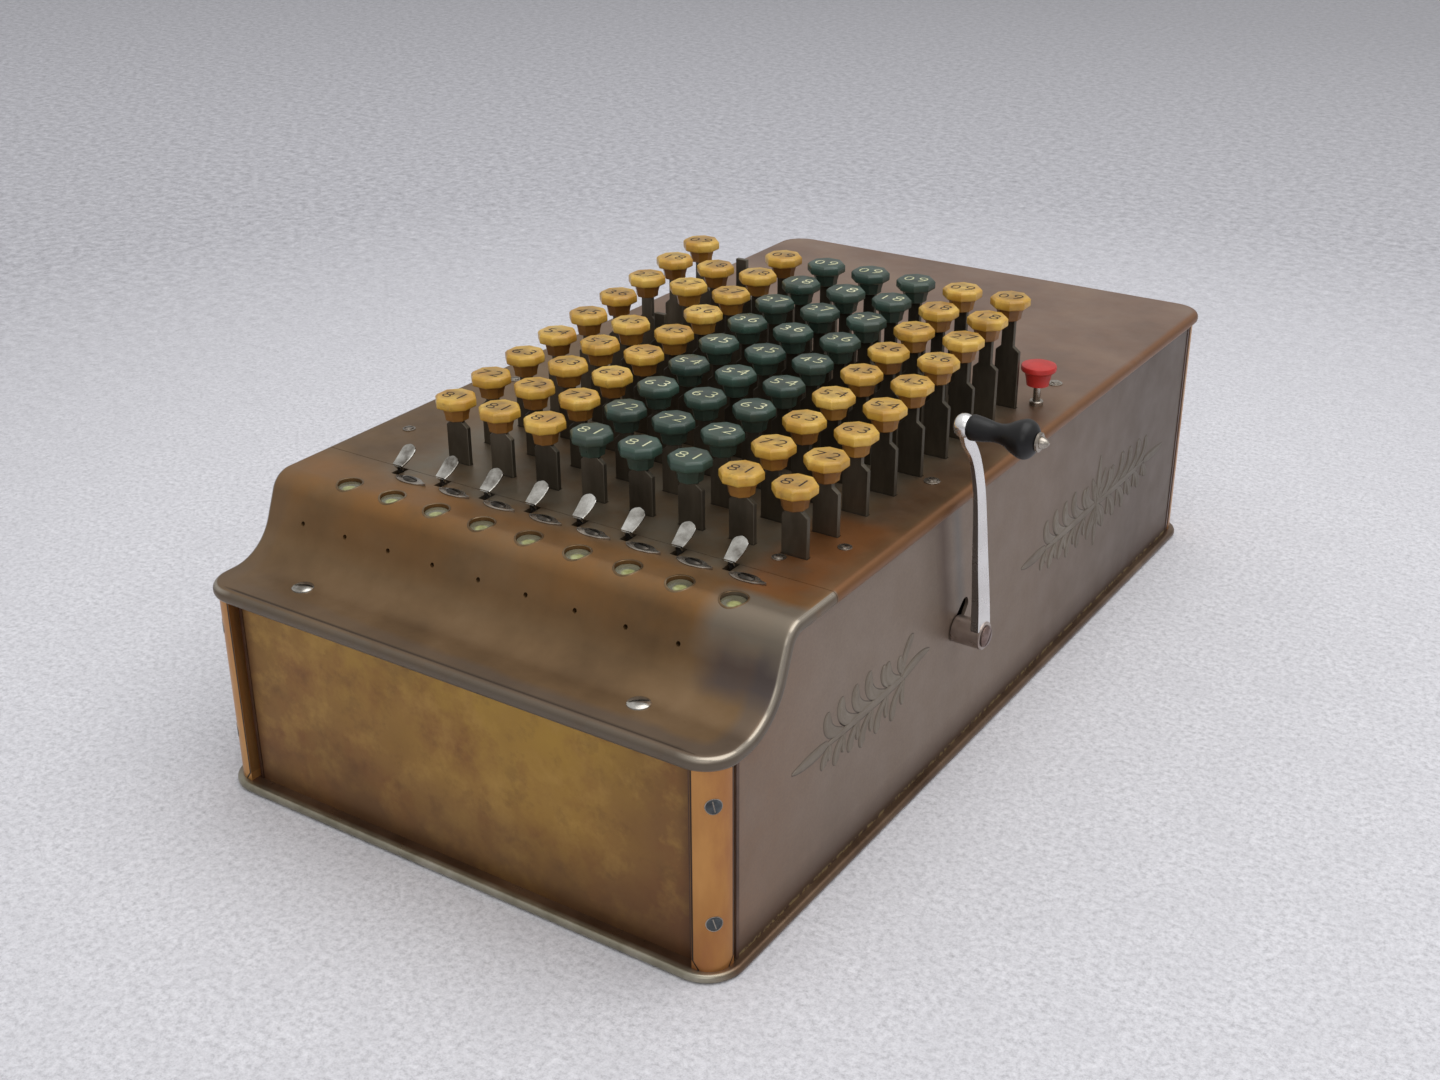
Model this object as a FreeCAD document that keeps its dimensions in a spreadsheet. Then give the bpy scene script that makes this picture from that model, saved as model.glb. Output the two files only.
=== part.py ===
"""Key-driven adding machine: eight columns of nine keys, nine register windows, a clearing crank.

The origin is the middle of the base's underside. +X is the operator's right, +Y runs from the
operator's edge to the back, +Z is up. All sizes are millimetres.
"""
import FreeCAD, Part
import math
import os
import re

import Sketcher

# Driving dimensions: name, value, meaning
DIMENSIONS = [
    ("base_width", 207.0, "flanged base plate, left to right"),
    ("base_length", 380.0, "flanged base plate, front to back"),
    ("base_thickness", 3.2, "base plate"),
    ("base_corner", 13.0, "plan radius of the base's corners"),
    ("base_bevel", 1.0, "bevel of the base's edge"),
    ("top_height", 104.0, "flat of the covers above the table"),
    ("seat_gap", 0.2, "clearance between casing pieces that sit together"),
    ("panel_inset", 3.2, "side panel's face behind the base's edge"),
    ("panel_thickness", 1.2, "sheet of the four panels"),
    ("groove", 1.2, "dark groove between a post and a panel"),
    ("post_inset", 3.0, "post's face behind the base's edge"),
    ("post_size", 9.0, "corner post, square over its faces"),
    ("post_round", 8.0, "rounding of the post's outer corner"),
    ("tongue_length", 4.0, "post's tongue behind each panel"),
    ("tongue_thickness", 2.6, "post's tongue"),
    ("cover_inset", 0.7, "covers' edge inside the base's edge"),
    ("cover_corner", 12.0, "plan radius of the covers' corners"),
    ("rim_height", 5.0, "thick rim round both covers"),
    ("rim_width", 5.5, "thick rim round both covers"),
    ("rim_bevel", 1.4, "bevel of the rim's upper edge"),
    ("skin", 3.0, "covers inside their rim"),
    ("lip_height", 77.6, "top of the register cover's front lip"),
    ("lip_flat", 15.5, "level run of the lip before the curve starts"),
    ("ogee_low_radius", 18.0, "hollow curve above the lip"),
    ("ogee_high_radius", 9.0, "round shoulder under the flat"),
    ("ogee_angle", 68.0, "steepness between the two curves, degrees"),
    ("ogee_run", 0.5, "least straight height between the two curves"),
    ("seam_back", 19.4, "seam between the covers behind the shoulder"),
    ("column_pitch", 19.05, "key columns, three quarters of an inch"),
    ("grid_shift", 3.0, "middle register window right of the centre line"),
    ("row_start", 14.4, "first key row behind the seam"),
    ("row_pitch", 18.6, "key rows, front to back"),
    ("row_rise", 2.18, "height that each row gains on the one before"),
    ("key_height", 24.5, "top of the first row's caps above the cover"),
    ("cap_radius", 7.3, "octagonal cap over its corners"),
    ("cap_bevel", 1.2, "bevel round the cap's top"),
    ("cap_side", 3.7, "cap's head, bevel included"),
    ("cap_length", 8.4, "cap from its top to the foot of its neck"),
    ("neck_width", 7.2, "square neck under the cap"),
    ("stem_left", 4.2, "wide part of the stem, left of the key's middle"),
    ("stem_right", 5.0, "wide part of the stem, right of the key's middle"),
    ("stem_thickness", 1.8, "stem's sheet steel"),
    ("shank_left", 2.2, "narrow part of the stem, left of the middle"),
    ("shank_right", 2.6, "narrow part of the stem, right of the middle"),
    ("step_height", 13.5, "stem's step above the cover in the first row"),
    ("step_rise", 1.0, "height that the step gains with each row"),
    ("step_slope", 1.8, "height of the step's slanted edge"),
    ("tang_depth", 4.8, "stem's end below the top of its cap"),
    ("slot_gap", 0.25, "clearance round a stem in its slot"),
    ("guide_height", 66.0, "top of the stems' guide plate"),
    ("guide_thickness", 1.5, "guide plate"),
    ("foot_gap", 0.3, "stem's foot above its column lever"),
    ("window_dia", 8.2, "register window"),
    ("glass_thickness", 1.0, "glass strip under the windows"),
    ("glass_half", 4.9, "glass strip in front of and behind the windows' middle"),
    ("glass_end", 6.4, "glass strip beyond the outer windows' middle"),
    ("drum_radius", 8.8, "number wheel over its corners"),
    ("drum_width", 6.5, "number wheel"),
    ("drum_gap", 0.6, "number wheel below the glass"),
    ("wheel_back", 1.6, "number wheels' axis behind the windows' middle"),
    ("pinion_radius", 5.5, "number wheel's pinion"),
    ("pinion_width", 2.6, "number wheel's pinion"),
    ("rod_radius", 1.5, "register rod and cut-off lever rod"),
    ("pivot_radius", 2.5, "column levers' rod"),
    ("running_gap", 0.05, "radial clearance of a running fit"),
    ("rod_overhang", 1.0, "rod's end beyond the side frame"),
    ("pivot_back", 35.0, "column levers' rod in front of the base's back edge"),
    ("pivot_height", 45.0, "column levers' rod above the table"),
    ("lever_depth", 8.0, "column lever's bar"),
    ("lever_thickness", 1.6, "column lever's sheet steel"),
    ("lever_side", 4.4, "column lever right of the key's middle"),
    ("lever_eye", 6.0, "column lever's eye round its rod"),
    ("rack_width", 5.5, "column lever's upright segment"),
    ("rack_gap", 0.8, "segment's top below the cover's skin"),
    ("mesh_gap", 0.3, "segment from its pinion"),
    ("frame_thickness", 2.0, "side frame's web"),
    ("flange_width", 11.0, "side frame's flanges"),
    ("flange_thickness", 1.5, "side frame's flanges"),
    ("frame_lead", 5.0, "side frame in front of the shoulder's end"),
    ("frame_tail", 12.0, "side frame in front of the rear panel"),
    ("cutoff_right", 7.2, "cut-off lever right of its window"),
    ("cutoff_back", 2.0, "cut-off lever in front of the seam"),
    ("cutoff_depth", 9.5, "cut-off lever's rod below the cover's top"),
    ("cutoff_width", 3.2, "cut-off lever's eye and shank"),
    ("cutoff_tip", 4.4, "cut-off lever's tab near its end"),
    ("cutoff_sheet", 0.9, "cut-off lever's strip"),
    ("cutoff_bend", 0.9, "bend of the strip above the cover"),
    ("cutoff_tab", 9.3, "leaning tab"),
    ("cutoff_lean", 37.0, "tab's angle above the cover, degrees"),
    ("cutoff_eye", 3.0, "cut-off lever's eye round its rod"),
    ("notch_width", 4.8, "notch for a cut-off lever"),
    ("notch_depth", 6.8, "notch in front of the seam"),
    ("plate_left", 2.6, "leaf plate's blunt end right of its cut-off lever"),
    ("plate_length", 12.2, "leaf plate"),
    ("plate_width", 4.4, "leaf plate"),
    ("plate_thickness", 0.8, "leaf plate"),
    ("plate_ahead", 6.6, "leaf plate's middle in front of the seam"),
    ("crank_back", 152.5, "crank's axis behind the base's front edge"),
    ("crank_height", 51.5, "crank's axis above the table"),
    ("crank_bore", 3.0, "crank shaft's radius"),
    ("crank_inner", 7.0, "crank shaft's length inside its frame"),
    ("crank_collar", 5.0, "collar of the crank shaft inside its frame"),
    ("hub_radius", 4.9, "crank's hub"),
    ("hub_length", 11.0, "crank's hub outside the side panel"),
    ("screw_head", 3.9, "domed screw on the hub"),
    ("screw_height", 1.6, "domed screw on the hub"),
    ("arm_lean", 10.6, "crank arm leans forward, degrees"),
    ("arm_straight", 62.0, "straight run of the arm from its axis"),
    ("arm_reach", 86.9, "eye above the hub, along the arm"),
    ("arm_crook", 6.5, "eye in front of the arm's line"),
    ("arm_sheet", 2.8, "arm's flat bar, along the axis"),
    ("arm_width_low", 8.6, "arm at its hub, across"),
    ("arm_width_high", 4.8, "arm at the end of its straight run, across"),
    ("arm_set", 0.8, "arm's outer face inside the hub's end"),
    ("eye_radius", 3.4, "crank's eye"),
    ("eye_length", 4.4, "crank's eye"),
    ("knob_length", 22.4, "turned knob"),
    ("knob_waist", 3.1, "turned knob's waist"),
    ("knob_base", 4.2, "turned knob beside the eye"),
    ("knob_bulb", 6.3, "turned knob's bulb"),
    ("pin_radius", 1.5, "pin through the knob"),
    ("washer_radius", 2.9, "washer at the knob's end"),
    ("washer_sheet", 1.4, "washer at the knob's end"),
    ("pin_end", 2.2, "pin's riveted end beyond its washer"),
    ("keyhole_side", 6.2, "keyhole slot up and back from the crank's axis"),
    ("keyhole_radius", 2.8, "keyhole slot's end"),
    ("release_inset", 8.2, "release key inside the right frame's outer face"),
    ("release_row", 8.4, "release key's row, counted as the key rows are"),
    ("release_height", 15.7, "release cap's top above the cover"),
    ("release_cap", 6.5, "release cap's radius"),
    ("release_foot", 4.1, "release cap's foot"),
    ("release_side", 1.6, "release cap's straight side"),
    ("release_length", 8.0, "release cap from top to foot"),
    ("release_stem", 1.15, "release key's stem"),
    ("release_gap", 0.3, "clearance round the release key's stem"),
    ("boss_radius", 2.6, "bush round the release key's stem"),
    ("boss_height", 1.8, "bush above the cover"),
    ("release_stop", 2.3, "collar under the frame's flange"),
]
COLUMNS = 8
ROWS = 9
WINDOWS = COLUMNS + 1
COLUMN_AT_MIDDLE = 4
WINDOW_AT_MIDDLE = 5
MISSING_CAPS = {(2, 6), (2, 9)}
CAP_SIDES = 8
DRUM_SIDES = 10
PINION_SIDES = 8
EYE_SIDES = 8
BORE_SIDES = 6
TURNED_SIDES = 16

NAMES = {name for name, _, _ in DIMENSIONS}

doc = FreeCAD.newDocument("KeyDrivenCalculator")
sheet = doc.addObject("Spreadsheet::Sheet", "Dims")
for line, (name, size, meaning) in enumerate(DIMENSIONS, start=1):
    sheet.set(f"A{line}", meaning)
    sheet.set(f"B{line}", str(size))
    sheet.setAlias(f"B{line}", name)
doc.recompute()


# Formulas

def bind(formula):
    """Point each dimension's name in a formula at its cell."""
    return re.sub(r"[a-z_]+", lambda word: f"Dims.{word[0]}" if word[0] in NAMES else word[0], formula)


def value(formula):
    """A formula's number now."""
    result = sheet.evalExpression(bind(formula))
    return float(getattr(result, "Value", result))


def from_front(formula):
    """A place measured from the base's front edge, in the part's frame."""
    return f"(-base_length / 2 + {formula})"


def column_x(column):
    return f"(grid_shift + column_pitch * ({column} - {COLUMN_AT_MIDDLE}))"


def window_x(window):
    return f"(grid_shift + column_pitch * ({window} - {WINDOW_AT_MIDDLE}))"


OGEE_FALL = "(1 - cos(ogee_angle))"
OGEE_DROP = "(top_height - lip_height)"
OGEE_FIT = f"min(1; {OGEE_DROP} / ((ogee_low_radius + ogee_high_radius) * {OGEE_FALL} + ogee_run))"
OGEE_LOW = f"(ogee_low_radius * {OGEE_FIT})"
OGEE_HIGH = f"(ogee_high_radius * {OGEE_FIT})"
LOW_START = "(cover_inset + lip_flat)"
SHOULDER = (f"({LOW_START} + ({OGEE_LOW} + {OGEE_HIGH}) * sin(ogee_angle)"
            f" + ({OGEE_DROP} - ({OGEE_LOW} + {OGEE_HIGH}) * {OGEE_FALL}) / tan(ogee_angle))")
SEAM = f"({SHOULDER} + seam_back)"
SKIN_UNDER = "(top_height - skin)"
COVER_HALF = "(base_width / 2 - cover_inset)"
PANEL_FACE = "(base_width / 2 - panel_inset)"
RECESS = "(cover_inset + rim_width + seat_gap / 2)"
POST_INNER = "(post_inset + post_size)"
PANEL_EDGE = f"({POST_INNER} + groove)"
FRAME_OUT = "(base_width / 2 - cover_inset - rim_width - seat_gap)"
WHEEL_Y = from_front(f"{SHOULDER} + wheel_back")
WHEEL_Z = f"({SKIN_UNDER} - glass_thickness - drum_gap - drum_radius)"
CUTOFF_Y = from_front(f"{SEAM} - cutoff_back")
CUTOFF_Z = "(top_height - cutoff_depth)"
RELEASE_X = f"({FRAME_OUT} - release_inset)"
RELEASE_Y = from_front(f"{SEAM} + row_start + row_pitch * release_row")
PIVOT_Y = "(base_length / 2 - pivot_back)"
LEVER_TOP = "(pivot_height + lever_depth / 2)"
CRANK_Y = from_front("crank_back")
HUB_END = f"({PANEL_FACE} + seat_gap + hub_length)"
ARM_X = f"({HUB_END} - arm_set - arm_sheet / 2)"
KNOB_X = f"({ARM_X} + eye_length / 2 + seat_gap)"


def row_y(row):
    return from_front(f"{SEAM} + row_start + row_pitch * ({row} - 1)")


def key_top(row):
    return f"(top_height + key_height + row_rise * ({row} - 1))"


# Sketches and features

def new_body(label):
    body = doc.addObject("PartDesign::Body", label)
    body.Label = label
    return body


def new_sketch(body, role, lift="0"):
    """An empty sketch on one of the body's own planes, lifted along the plane's normal."""
    sketch = body.newObject("Sketcher::SketchObject", f"{body.Name}_sketch")
    plane = next(item for item in body.Origin.OriginFeatures if item.Role == role)
    sketch.AttachmentSupport = [(plane, "")]
    sketch.MapMode = "FlatFace"
    sketch.setExpression("AttachmentOffset.Base.z", bind(lift))
    return sketch


def arc_between(start, end, radius, turn):
    """The minor arc from start to end; turn is +1 for a left turn and -1 for a right one."""
    chord = end - start
    half = chord.Length / 2
    normal = FreeCAD.Vector(-chord.y, chord.x, 0).normalize()
    centre = start + chord * 0.5 + normal * (turn * math.sqrt(radius * radius - half * half))
    angles = [math.atan2(place.y - centre.y, place.x - centre.x) for place in (start, end)]
    if turn < 0:
        angles.reverse()
    return Part.ArcOfCircle(Part.Circle(centre, FreeCAD.Vector(0, 0, 1), radius), *angles)


def hold(sketch, kind, references, formula):
    """Add one dimension to a sketch and bind it to the sheet."""
    index = sketch.addConstraint(Sketcher.Constraint(kind, *references, value(formula)))
    sketch.setExpression(f"Constraints[{index}]", bind(formula))


def outline(sketch, corners):
    """Close a loop through corners, each two formulas; a corner reached by an arc adds radius and turn."""
    places = [FreeCAD.Vector(value(corner[0]), value(corner[1]), 0) for corner in corners]
    first = sketch.GeometryCount
    ends = []
    for index, corner in enumerate(corners):
        start, end = places[index - 1], places[index]
        if len(corner) == 2:
            sketch.addGeometry(Part.LineSegment(start, end))
            ends.append((1, 2))
        else:
            radius, turn = corner[2:]
            sketch.addGeometry(arc_between(start, end, value(radius), turn))
            ends.append((1, 2) if turn > 0 else (2, 1))
    for index, corner in enumerate(corners):
        geometry = first + index
        following = first + (index + 1) % len(corners)
        next_start = ends[(index + 1) % len(corners)][0]
        sketch.addConstraint(
            Sketcher.Constraint("Coincident", geometry, ends[index][1], following, next_start))
        hold(sketch, "DistanceX", (-1, 1, geometry, ends[index][1]), corner[0])
        hold(sketch, "DistanceY", (-1, 1, geometry, ends[index][1]), corner[1])
        if len(corner) > 2:
            hold(sketch, "Radius", (geometry,), corner[2])


def rectangle(sketch, left, low, right, high):
    outline(sketch, [(left, low), (right, low), (right, high), (left, high)])


def circle(sketch, across, up, radius):
    centre = FreeCAD.Vector(value(across), value(up), 0)
    index = sketch.addGeometry(Part.Circle(centre, FreeCAD.Vector(0, 0, 1), value(radius)))
    hold(sketch, "DistanceX", (-1, 1, index, 3), across)
    hold(sketch, "DistanceY", (-1, 1, index, 3), up)
    hold(sketch, "Radius", (index,), radius)


def ring(sketch, across, up, radius, sides, start=0.5):
    """A regular polygon with its corners at the radius."""
    outline(sketch, [
        (f"{across} + ({radius}) * cos({angle})", f"{up} + ({radius}) * sin({angle})")
        for angle in (360.0 / sides * (side + start) for side in range(sides))
    ])


def around(radius, sides):
    """The corner radius of a polygon whose flats lie at the radius."""
    return f"({radius}) / cos(180 / {sides})"


def grow(body, kind, sketch, length, reverse=False):
    """Pad or pocket a sketch; a pocket that removes nothing is an error."""
    before = body.Shape.Volume if body.Shape.Solids else 0.0
    feature = body.newObject(f"PartDesign::{kind}", f"{body.Name}_{kind}")
    feature.Profile = sketch
    feature.Reversed = reverse
    feature.setExpression("Length", bind(length))
    doc.recompute()
    if abs(body.Shape.Volume - before) < 1e-6:
        raise RuntimeError(f"{feature.Name} changed nothing")
    return feature


def pad(body, sketch, length, reverse=False):
    return grow(body, "Pad", sketch, length, reverse)


def pocket(body, sketch, length, reverse=False):
    return grow(body, "Pocket", sketch, length, reverse)


def repeat(body, feature, sketch, counts, steps):
    """Repeat a feature along its sketch's two axes."""
    lines = []
    grid = body.newObject("PartDesign::MultiTransform", f"{body.Name}_grid")
    grid.Originals = [feature]
    for axis, count, step in zip(("H_Axis", "V_Axis"), counts, steps):
        if count == 1:
            continue
        line = body.newObject("PartDesign::LinearPattern", f"{body.Name}_line")
        line.Direction = (sketch, [axis])
        line.Mode = "Spacing"
        line.Occurrences = count
        line.setExpression("Offset", bind(step))
        lines.append(line)
    grid.Transformations = lines
    body.Tip = grid
    doc.recompute()
    return grid


def round_edges(body, base, radius, wanted):
    """Fillet the edges of base whose middle and box pass the test."""
    names = [f"Edge{index}" for index, edge in enumerate(base.Shape.Edges, start=1) if wanted(edge)]
    fillet = body.newObject("PartDesign::Fillet", f"{body.Name}_fillet")
    fillet.Base = (base, names)
    fillet.setExpression("Radius", bind(radius))
    doc.recompute()
    return fillet


def bevel_edges(body, base, along, across, wanted, flip=False):
    """Chamfer the edges of base that pass the test, by two sizes."""
    names = [f"Edge{index}" for index, edge in enumerate(base.Shape.Edges, start=1) if wanted(edge)]
    chamfer = body.newObject("PartDesign::Chamfer", f"{body.Name}_chamfer")
    chamfer.Base = (base, names)
    chamfer.ChamferType = "Two distances"
    chamfer.setExpression("Size", bind(along))
    chamfer.setExpression("Size2", bind(across))
    chamfer.FlipDirection = flip
    doc.recompute()
    return chamfer


def upright(edge):
    box = edge.BoundBox
    return box.ZLength > max(box.XLength, box.YLength) * 100


def place(item, across="0", back="0", up="0"):
    for letter, formula in zip("xyz", (across, back, up)):
        item.setExpression(f"Placement.Base.{letter}", bind(formula))


def cylinder(label, radius, length, across, back, up):
    """A cylinder that starts at a place and runs along +X."""
    item = doc.addObject("Part::Cylinder", label)
    item.setExpression("Radius", bind(radius))
    item.setExpression("Height", bind(length))
    item.Placement.Rotation = FreeCAD.Rotation(FreeCAD.Vector(0, 1, 0), 90.0)
    place(item, across, back, up)
    return item


def prism(label, sides, radius, length, across, back, up):
    """A regular prism that starts at a place and runs along +X."""
    item = doc.addObject("Part::Prism", label)
    item.Polygon = sides
    item.setExpression("Circumradius", bind(radius))
    item.setExpression("Height", bind(length))
    item.Placement.Rotation = FreeCAD.Rotation(FreeCAD.Vector(0, 1, 0), 90.0)
    place(item, across, back, up)
    return item


def group(label, items):
    compound = doc.addObject("Part::Compound", label)
    compound.Label = label
    compound.Links = items
    return compound


def copy_of(original, across="0", back="0", up="0"):
    """A placed link to one piece that the machine repeats."""
    link = doc.addObject("App::Link", f"{original.Name}_copy")
    link.LinkedObject = original
    place(link, across, back, up)
    return link


# The ogee line that both the register cover and the side panels follow

def ogee(drop):
    """Corners along the register cover's profile, drop below its outer face, from lip to shoulder."""
    low = f"({OGEE_LOW} + {drop})"
    high = f"({OGEE_HIGH} - {drop})"
    low_y = from_front(LOW_START)
    high_y = from_front(SHOULDER)
    return [
        (low_y, f"lip_height - {drop}"),
        (f"{low_y} + {low} * sin(ogee_angle)",
         f"lip_height + {OGEE_LOW} - {low} * cos(ogee_angle)", low, 1),
        (f"{high_y} - {high} * sin(ogee_angle)",
         f"top_height - {OGEE_HIGH} + {high} * cos(ogee_angle)"),
        (high_y, f"top_height - {drop}", high, -1),
    ]


def ogee_back(drop):
    """The same corners from shoulder to lip."""
    lip, hollow_end, shoulder_start, shoulder_end = ogee(drop)
    return [
        shoulder_end[:2],
        shoulder_start[:2] + (shoulder_end[2], 1),
        hollow_end[:2],
        lip[:2] + (hollow_end[2], -1),
    ]


# Casing

def make_base_plate():
    body = new_body("base_plate")
    sketch = new_sketch(body, "XY_Plane")
    rectangle(sketch, "-base_width / 2", "-base_length / 2", "base_width / 2", "base_length / 2")
    plate = pad(body, sketch, "base_thickness")
    corners = round_edges(body, plate, "base_corner", upright)
    bevel_edges(body, corners, "base_bevel", "base_bevel", lambda edge: edge.BoundBox.ZMin > 0.01
                and not upright(edge))
    return body


def make_side_panel(label, side):
    body = new_body(label)
    lift = PANEL_FACE if side < 0 else f"({PANEL_FACE} - panel_thickness)"
    sketch = new_sketch(body, "YZ_Plane", f"{side} * {lift}")
    drop = "(rim_height + seat_gap)"
    front = from_front(PANEL_EDGE)
    rear = f"(base_length / 2 - {PANEL_EDGE})"
    outline(sketch, [(front, "base_thickness"), (front, f"lip_height - {drop}")] + ogee(drop)
            + [(rear, f"top_height - {drop}"), (rear, "base_thickness")])
    pad(body, sketch, "panel_thickness")
    return body


def make_right_side_panel():
    """The crank's side: its panel has the hub's hole and a keyhole slot behind it."""
    body = make_side_panel("right_side_panel", 1)
    slot = new_sketch(body, "YZ_Plane", PANEL_FACE)
    sides = TURNED_SIDES // 2
    turn = 360 / TURNED_SIDES
    corners = []
    ends = ((135, "0", "crank_bore + seat_gap * 3"), (-45, "keyhole_side", "keyhole_radius"))
    for start, away, radius in ends:
        corners += [
            (f"{CRANK_Y} + {away} + ({radius}) * cos({angle})",
             f"crank_height + {away} + ({radius}) * sin({angle})")
            for angle in (start + turn * step for step in range(sides + 1))
        ]
    outline(slot, corners)
    pocket(body, slot, "panel_thickness")
    return body


def make_front_panel():
    """Sheet with a folded flange that the lip's two screws hold."""
    body = new_body("front_panel")
    half = f"(base_width / 2 - {PANEL_EDGE})"
    sketch = new_sketch(body, "YZ_Plane", f"-{half}")
    face = from_front(RECESS)
    inner = f"({face} + panel_thickness)"
    flange_end = from_front(f"{LOW_START} + flange_width / 2")
    under = "(lip_height - skin)"
    outline(sketch, [
        (face, "base_thickness"), (inner, "base_thickness"),
        (inner, f"{under} - panel_thickness"), (flange_end, f"{under} - panel_thickness"),
        (flange_end, under), (face, under),
    ])
    pad(body, sketch, f"2 * {half}")
    return body


def make_rear_panel():
    body = new_body("rear_panel")
    half = f"(base_width / 2 - {PANEL_EDGE})"
    face = f"(base_length / 2 - {RECESS})"
    sketch = new_sketch(body, "YZ_Plane", f"-{half}")
    rectangle(sketch, f"{face} - panel_thickness", "base_thickness", face, SKIN_UNDER)
    pad(body, sketch, f"2 * {half}")
    return body


def make_post(label, end, top):
    """Right-hand post; end is -1 at the front and +1 at the back."""
    body = new_body(label)
    sketch = new_sketch(body, "XY_Plane", "base_thickness")

    def spot(from_side, from_end):
        return (f"base_width / 2 - ({from_side})", f"{end} * (base_length / 2 - ({from_end}))")

    faces = "post_inset"
    inner = POST_INNER
    tongue = f"({inner} + groove + tongue_length)"
    behind_end = f"({RECESS} + panel_thickness + seat_gap)"
    behind_side = "(panel_inset + panel_thickness + seat_gap)"
    rounded = "(post_inset + post_round)"
    arc_end = spot(rounded, faces) + ("post_round", end)
    corners = [
        spot(faces, rounded), arc_end, spot(inner, faces),
        spot(inner, behind_end), spot(tongue, behind_end),
        spot(tongue, f"{behind_end} + tongue_thickness"), spot(inner, f"{behind_end} + tongue_thickness"),
        spot(inner, inner),
        spot(f"{behind_side} + tongue_thickness", inner), spot(f"{behind_side} + tongue_thickness", tongue),
        spot(behind_side, tongue), spot(behind_side, inner), spot(faces, inner),
    ]
    outline(sketch, corners)
    pad(body, sketch, f"{top} - base_thickness")
    return body


def mirrored(original):
    """The left-hand twin of a right-hand piece."""
    twin = doc.addObject("Part::Mirroring", f"{original.Name}_twin")
    twin.Source = original
    twin.Normal = FreeCAD.Vector(1, 0, 0)
    return twin


def make_corner_posts():
    front = make_post("front_post", -1, "(lip_height - rim_height)")
    rear = make_post("rear_post", 1, "(top_height - rim_height)")
    return group("corner_posts", [front, mirrored(front), rear, mirrored(rear)])


def rim_edges(cover, seam):
    """A test for a cover's upper outer edges: a standing wall meets what faces up, away from the seam."""
    def wanted(edge):
        middle = edge.valueAt((edge.FirstParameter + edge.LastParameter) / 2)
        if abs(edge.BoundBox.Center.y - seam) < 0.01:
            return False
        lifts = sorted(face.normalAt(*face.Surface.parameter(middle)).z
                       for face in cover.Shape.ancestorsOfType(edge, Part.Face))
        return abs(lifts[0]) < 0.01 and lifts[1] > 0.3
    return wanted


def make_register_cover():
    """The curved front cover: thick rim, thinner skin, nine windows and notches for the cut-off levers."""
    body = new_body("register_cover")
    seam = from_front(f"{SEAM} - seat_gap / 2")
    lip = from_front("cover_inset")
    profile = new_sketch(body, "YZ_Plane", f"-{COVER_HALF}")
    outline(profile, [(lip, "lip_height")] + ogee("0")
            + [(seam, "top_height"), (seam, "top_height - rim_height")]
            + ogee_back("rim_height") + [(lip, "lip_height - rim_height")])
    solid = pad(body, profile, f"2 * {COVER_HALF}")
    front = value(lip)
    corners = round_edges(body, solid, "cover_corner",
                          lambda edge: upright(edge) and abs(edge.BoundBox.YMin - front) < 0.01)

    bevel_edges(body, corners, "rim_bevel", "rim_bevel", rim_edges(corners, value(seam)))

    hollow = new_sketch(body, "YZ_Plane", f"{COVER_HALF} - rim_width")
    inner_lip = from_front("cover_inset + rim_width")
    floor = "lip_height - 3 * rim_height"
    outline(hollow, [(inner_lip, floor), (inner_lip, "lip_height - skin")] + ogee("skin")
            + [(f"{seam} + skin", SKIN_UNDER), (f"{seam} + skin", floor)])
    pocket(body, hollow, f"2 * ({COVER_HALF} - rim_width)")

    seat = new_sketch(body, "XY_Plane", SKIN_UNDER)
    window_y = from_front(SHOULDER)
    rectangle(seat, f"{window_x(1)} - glass_end - seat_gap / 2", f"{window_y} - glass_half - seat_gap / 2",
              f"{window_x(WINDOWS)} + glass_end + seat_gap / 2", f"{window_y} + glass_half + seat_gap / 2")
    pocket(body, seat, "skin")

    window = new_sketch(body, "XY_Plane", "top_height")
    ring(window, window_x(1), window_y, "window_dia / 2", TURNED_SIDES)
    repeat(body, pocket(body, window, "skin"), window, (WINDOWS, 1), ("column_pitch", "column_pitch"))

    notch = new_sketch(body, "XY_Plane", "top_height")
    lever_x = f"({window_x(1)} + cutoff_right)"
    rectangle(notch, f"{lever_x} - notch_width / 2", from_front(f"{SEAM} - notch_depth"),
              f"{lever_x} + notch_width / 2", from_front(f"{SEAM} + seat_gap"))
    repeat(body, pocket(body, notch, "skin"), notch, (COLUMNS, 1), ("column_pitch", "column_pitch"))
    return body


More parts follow.
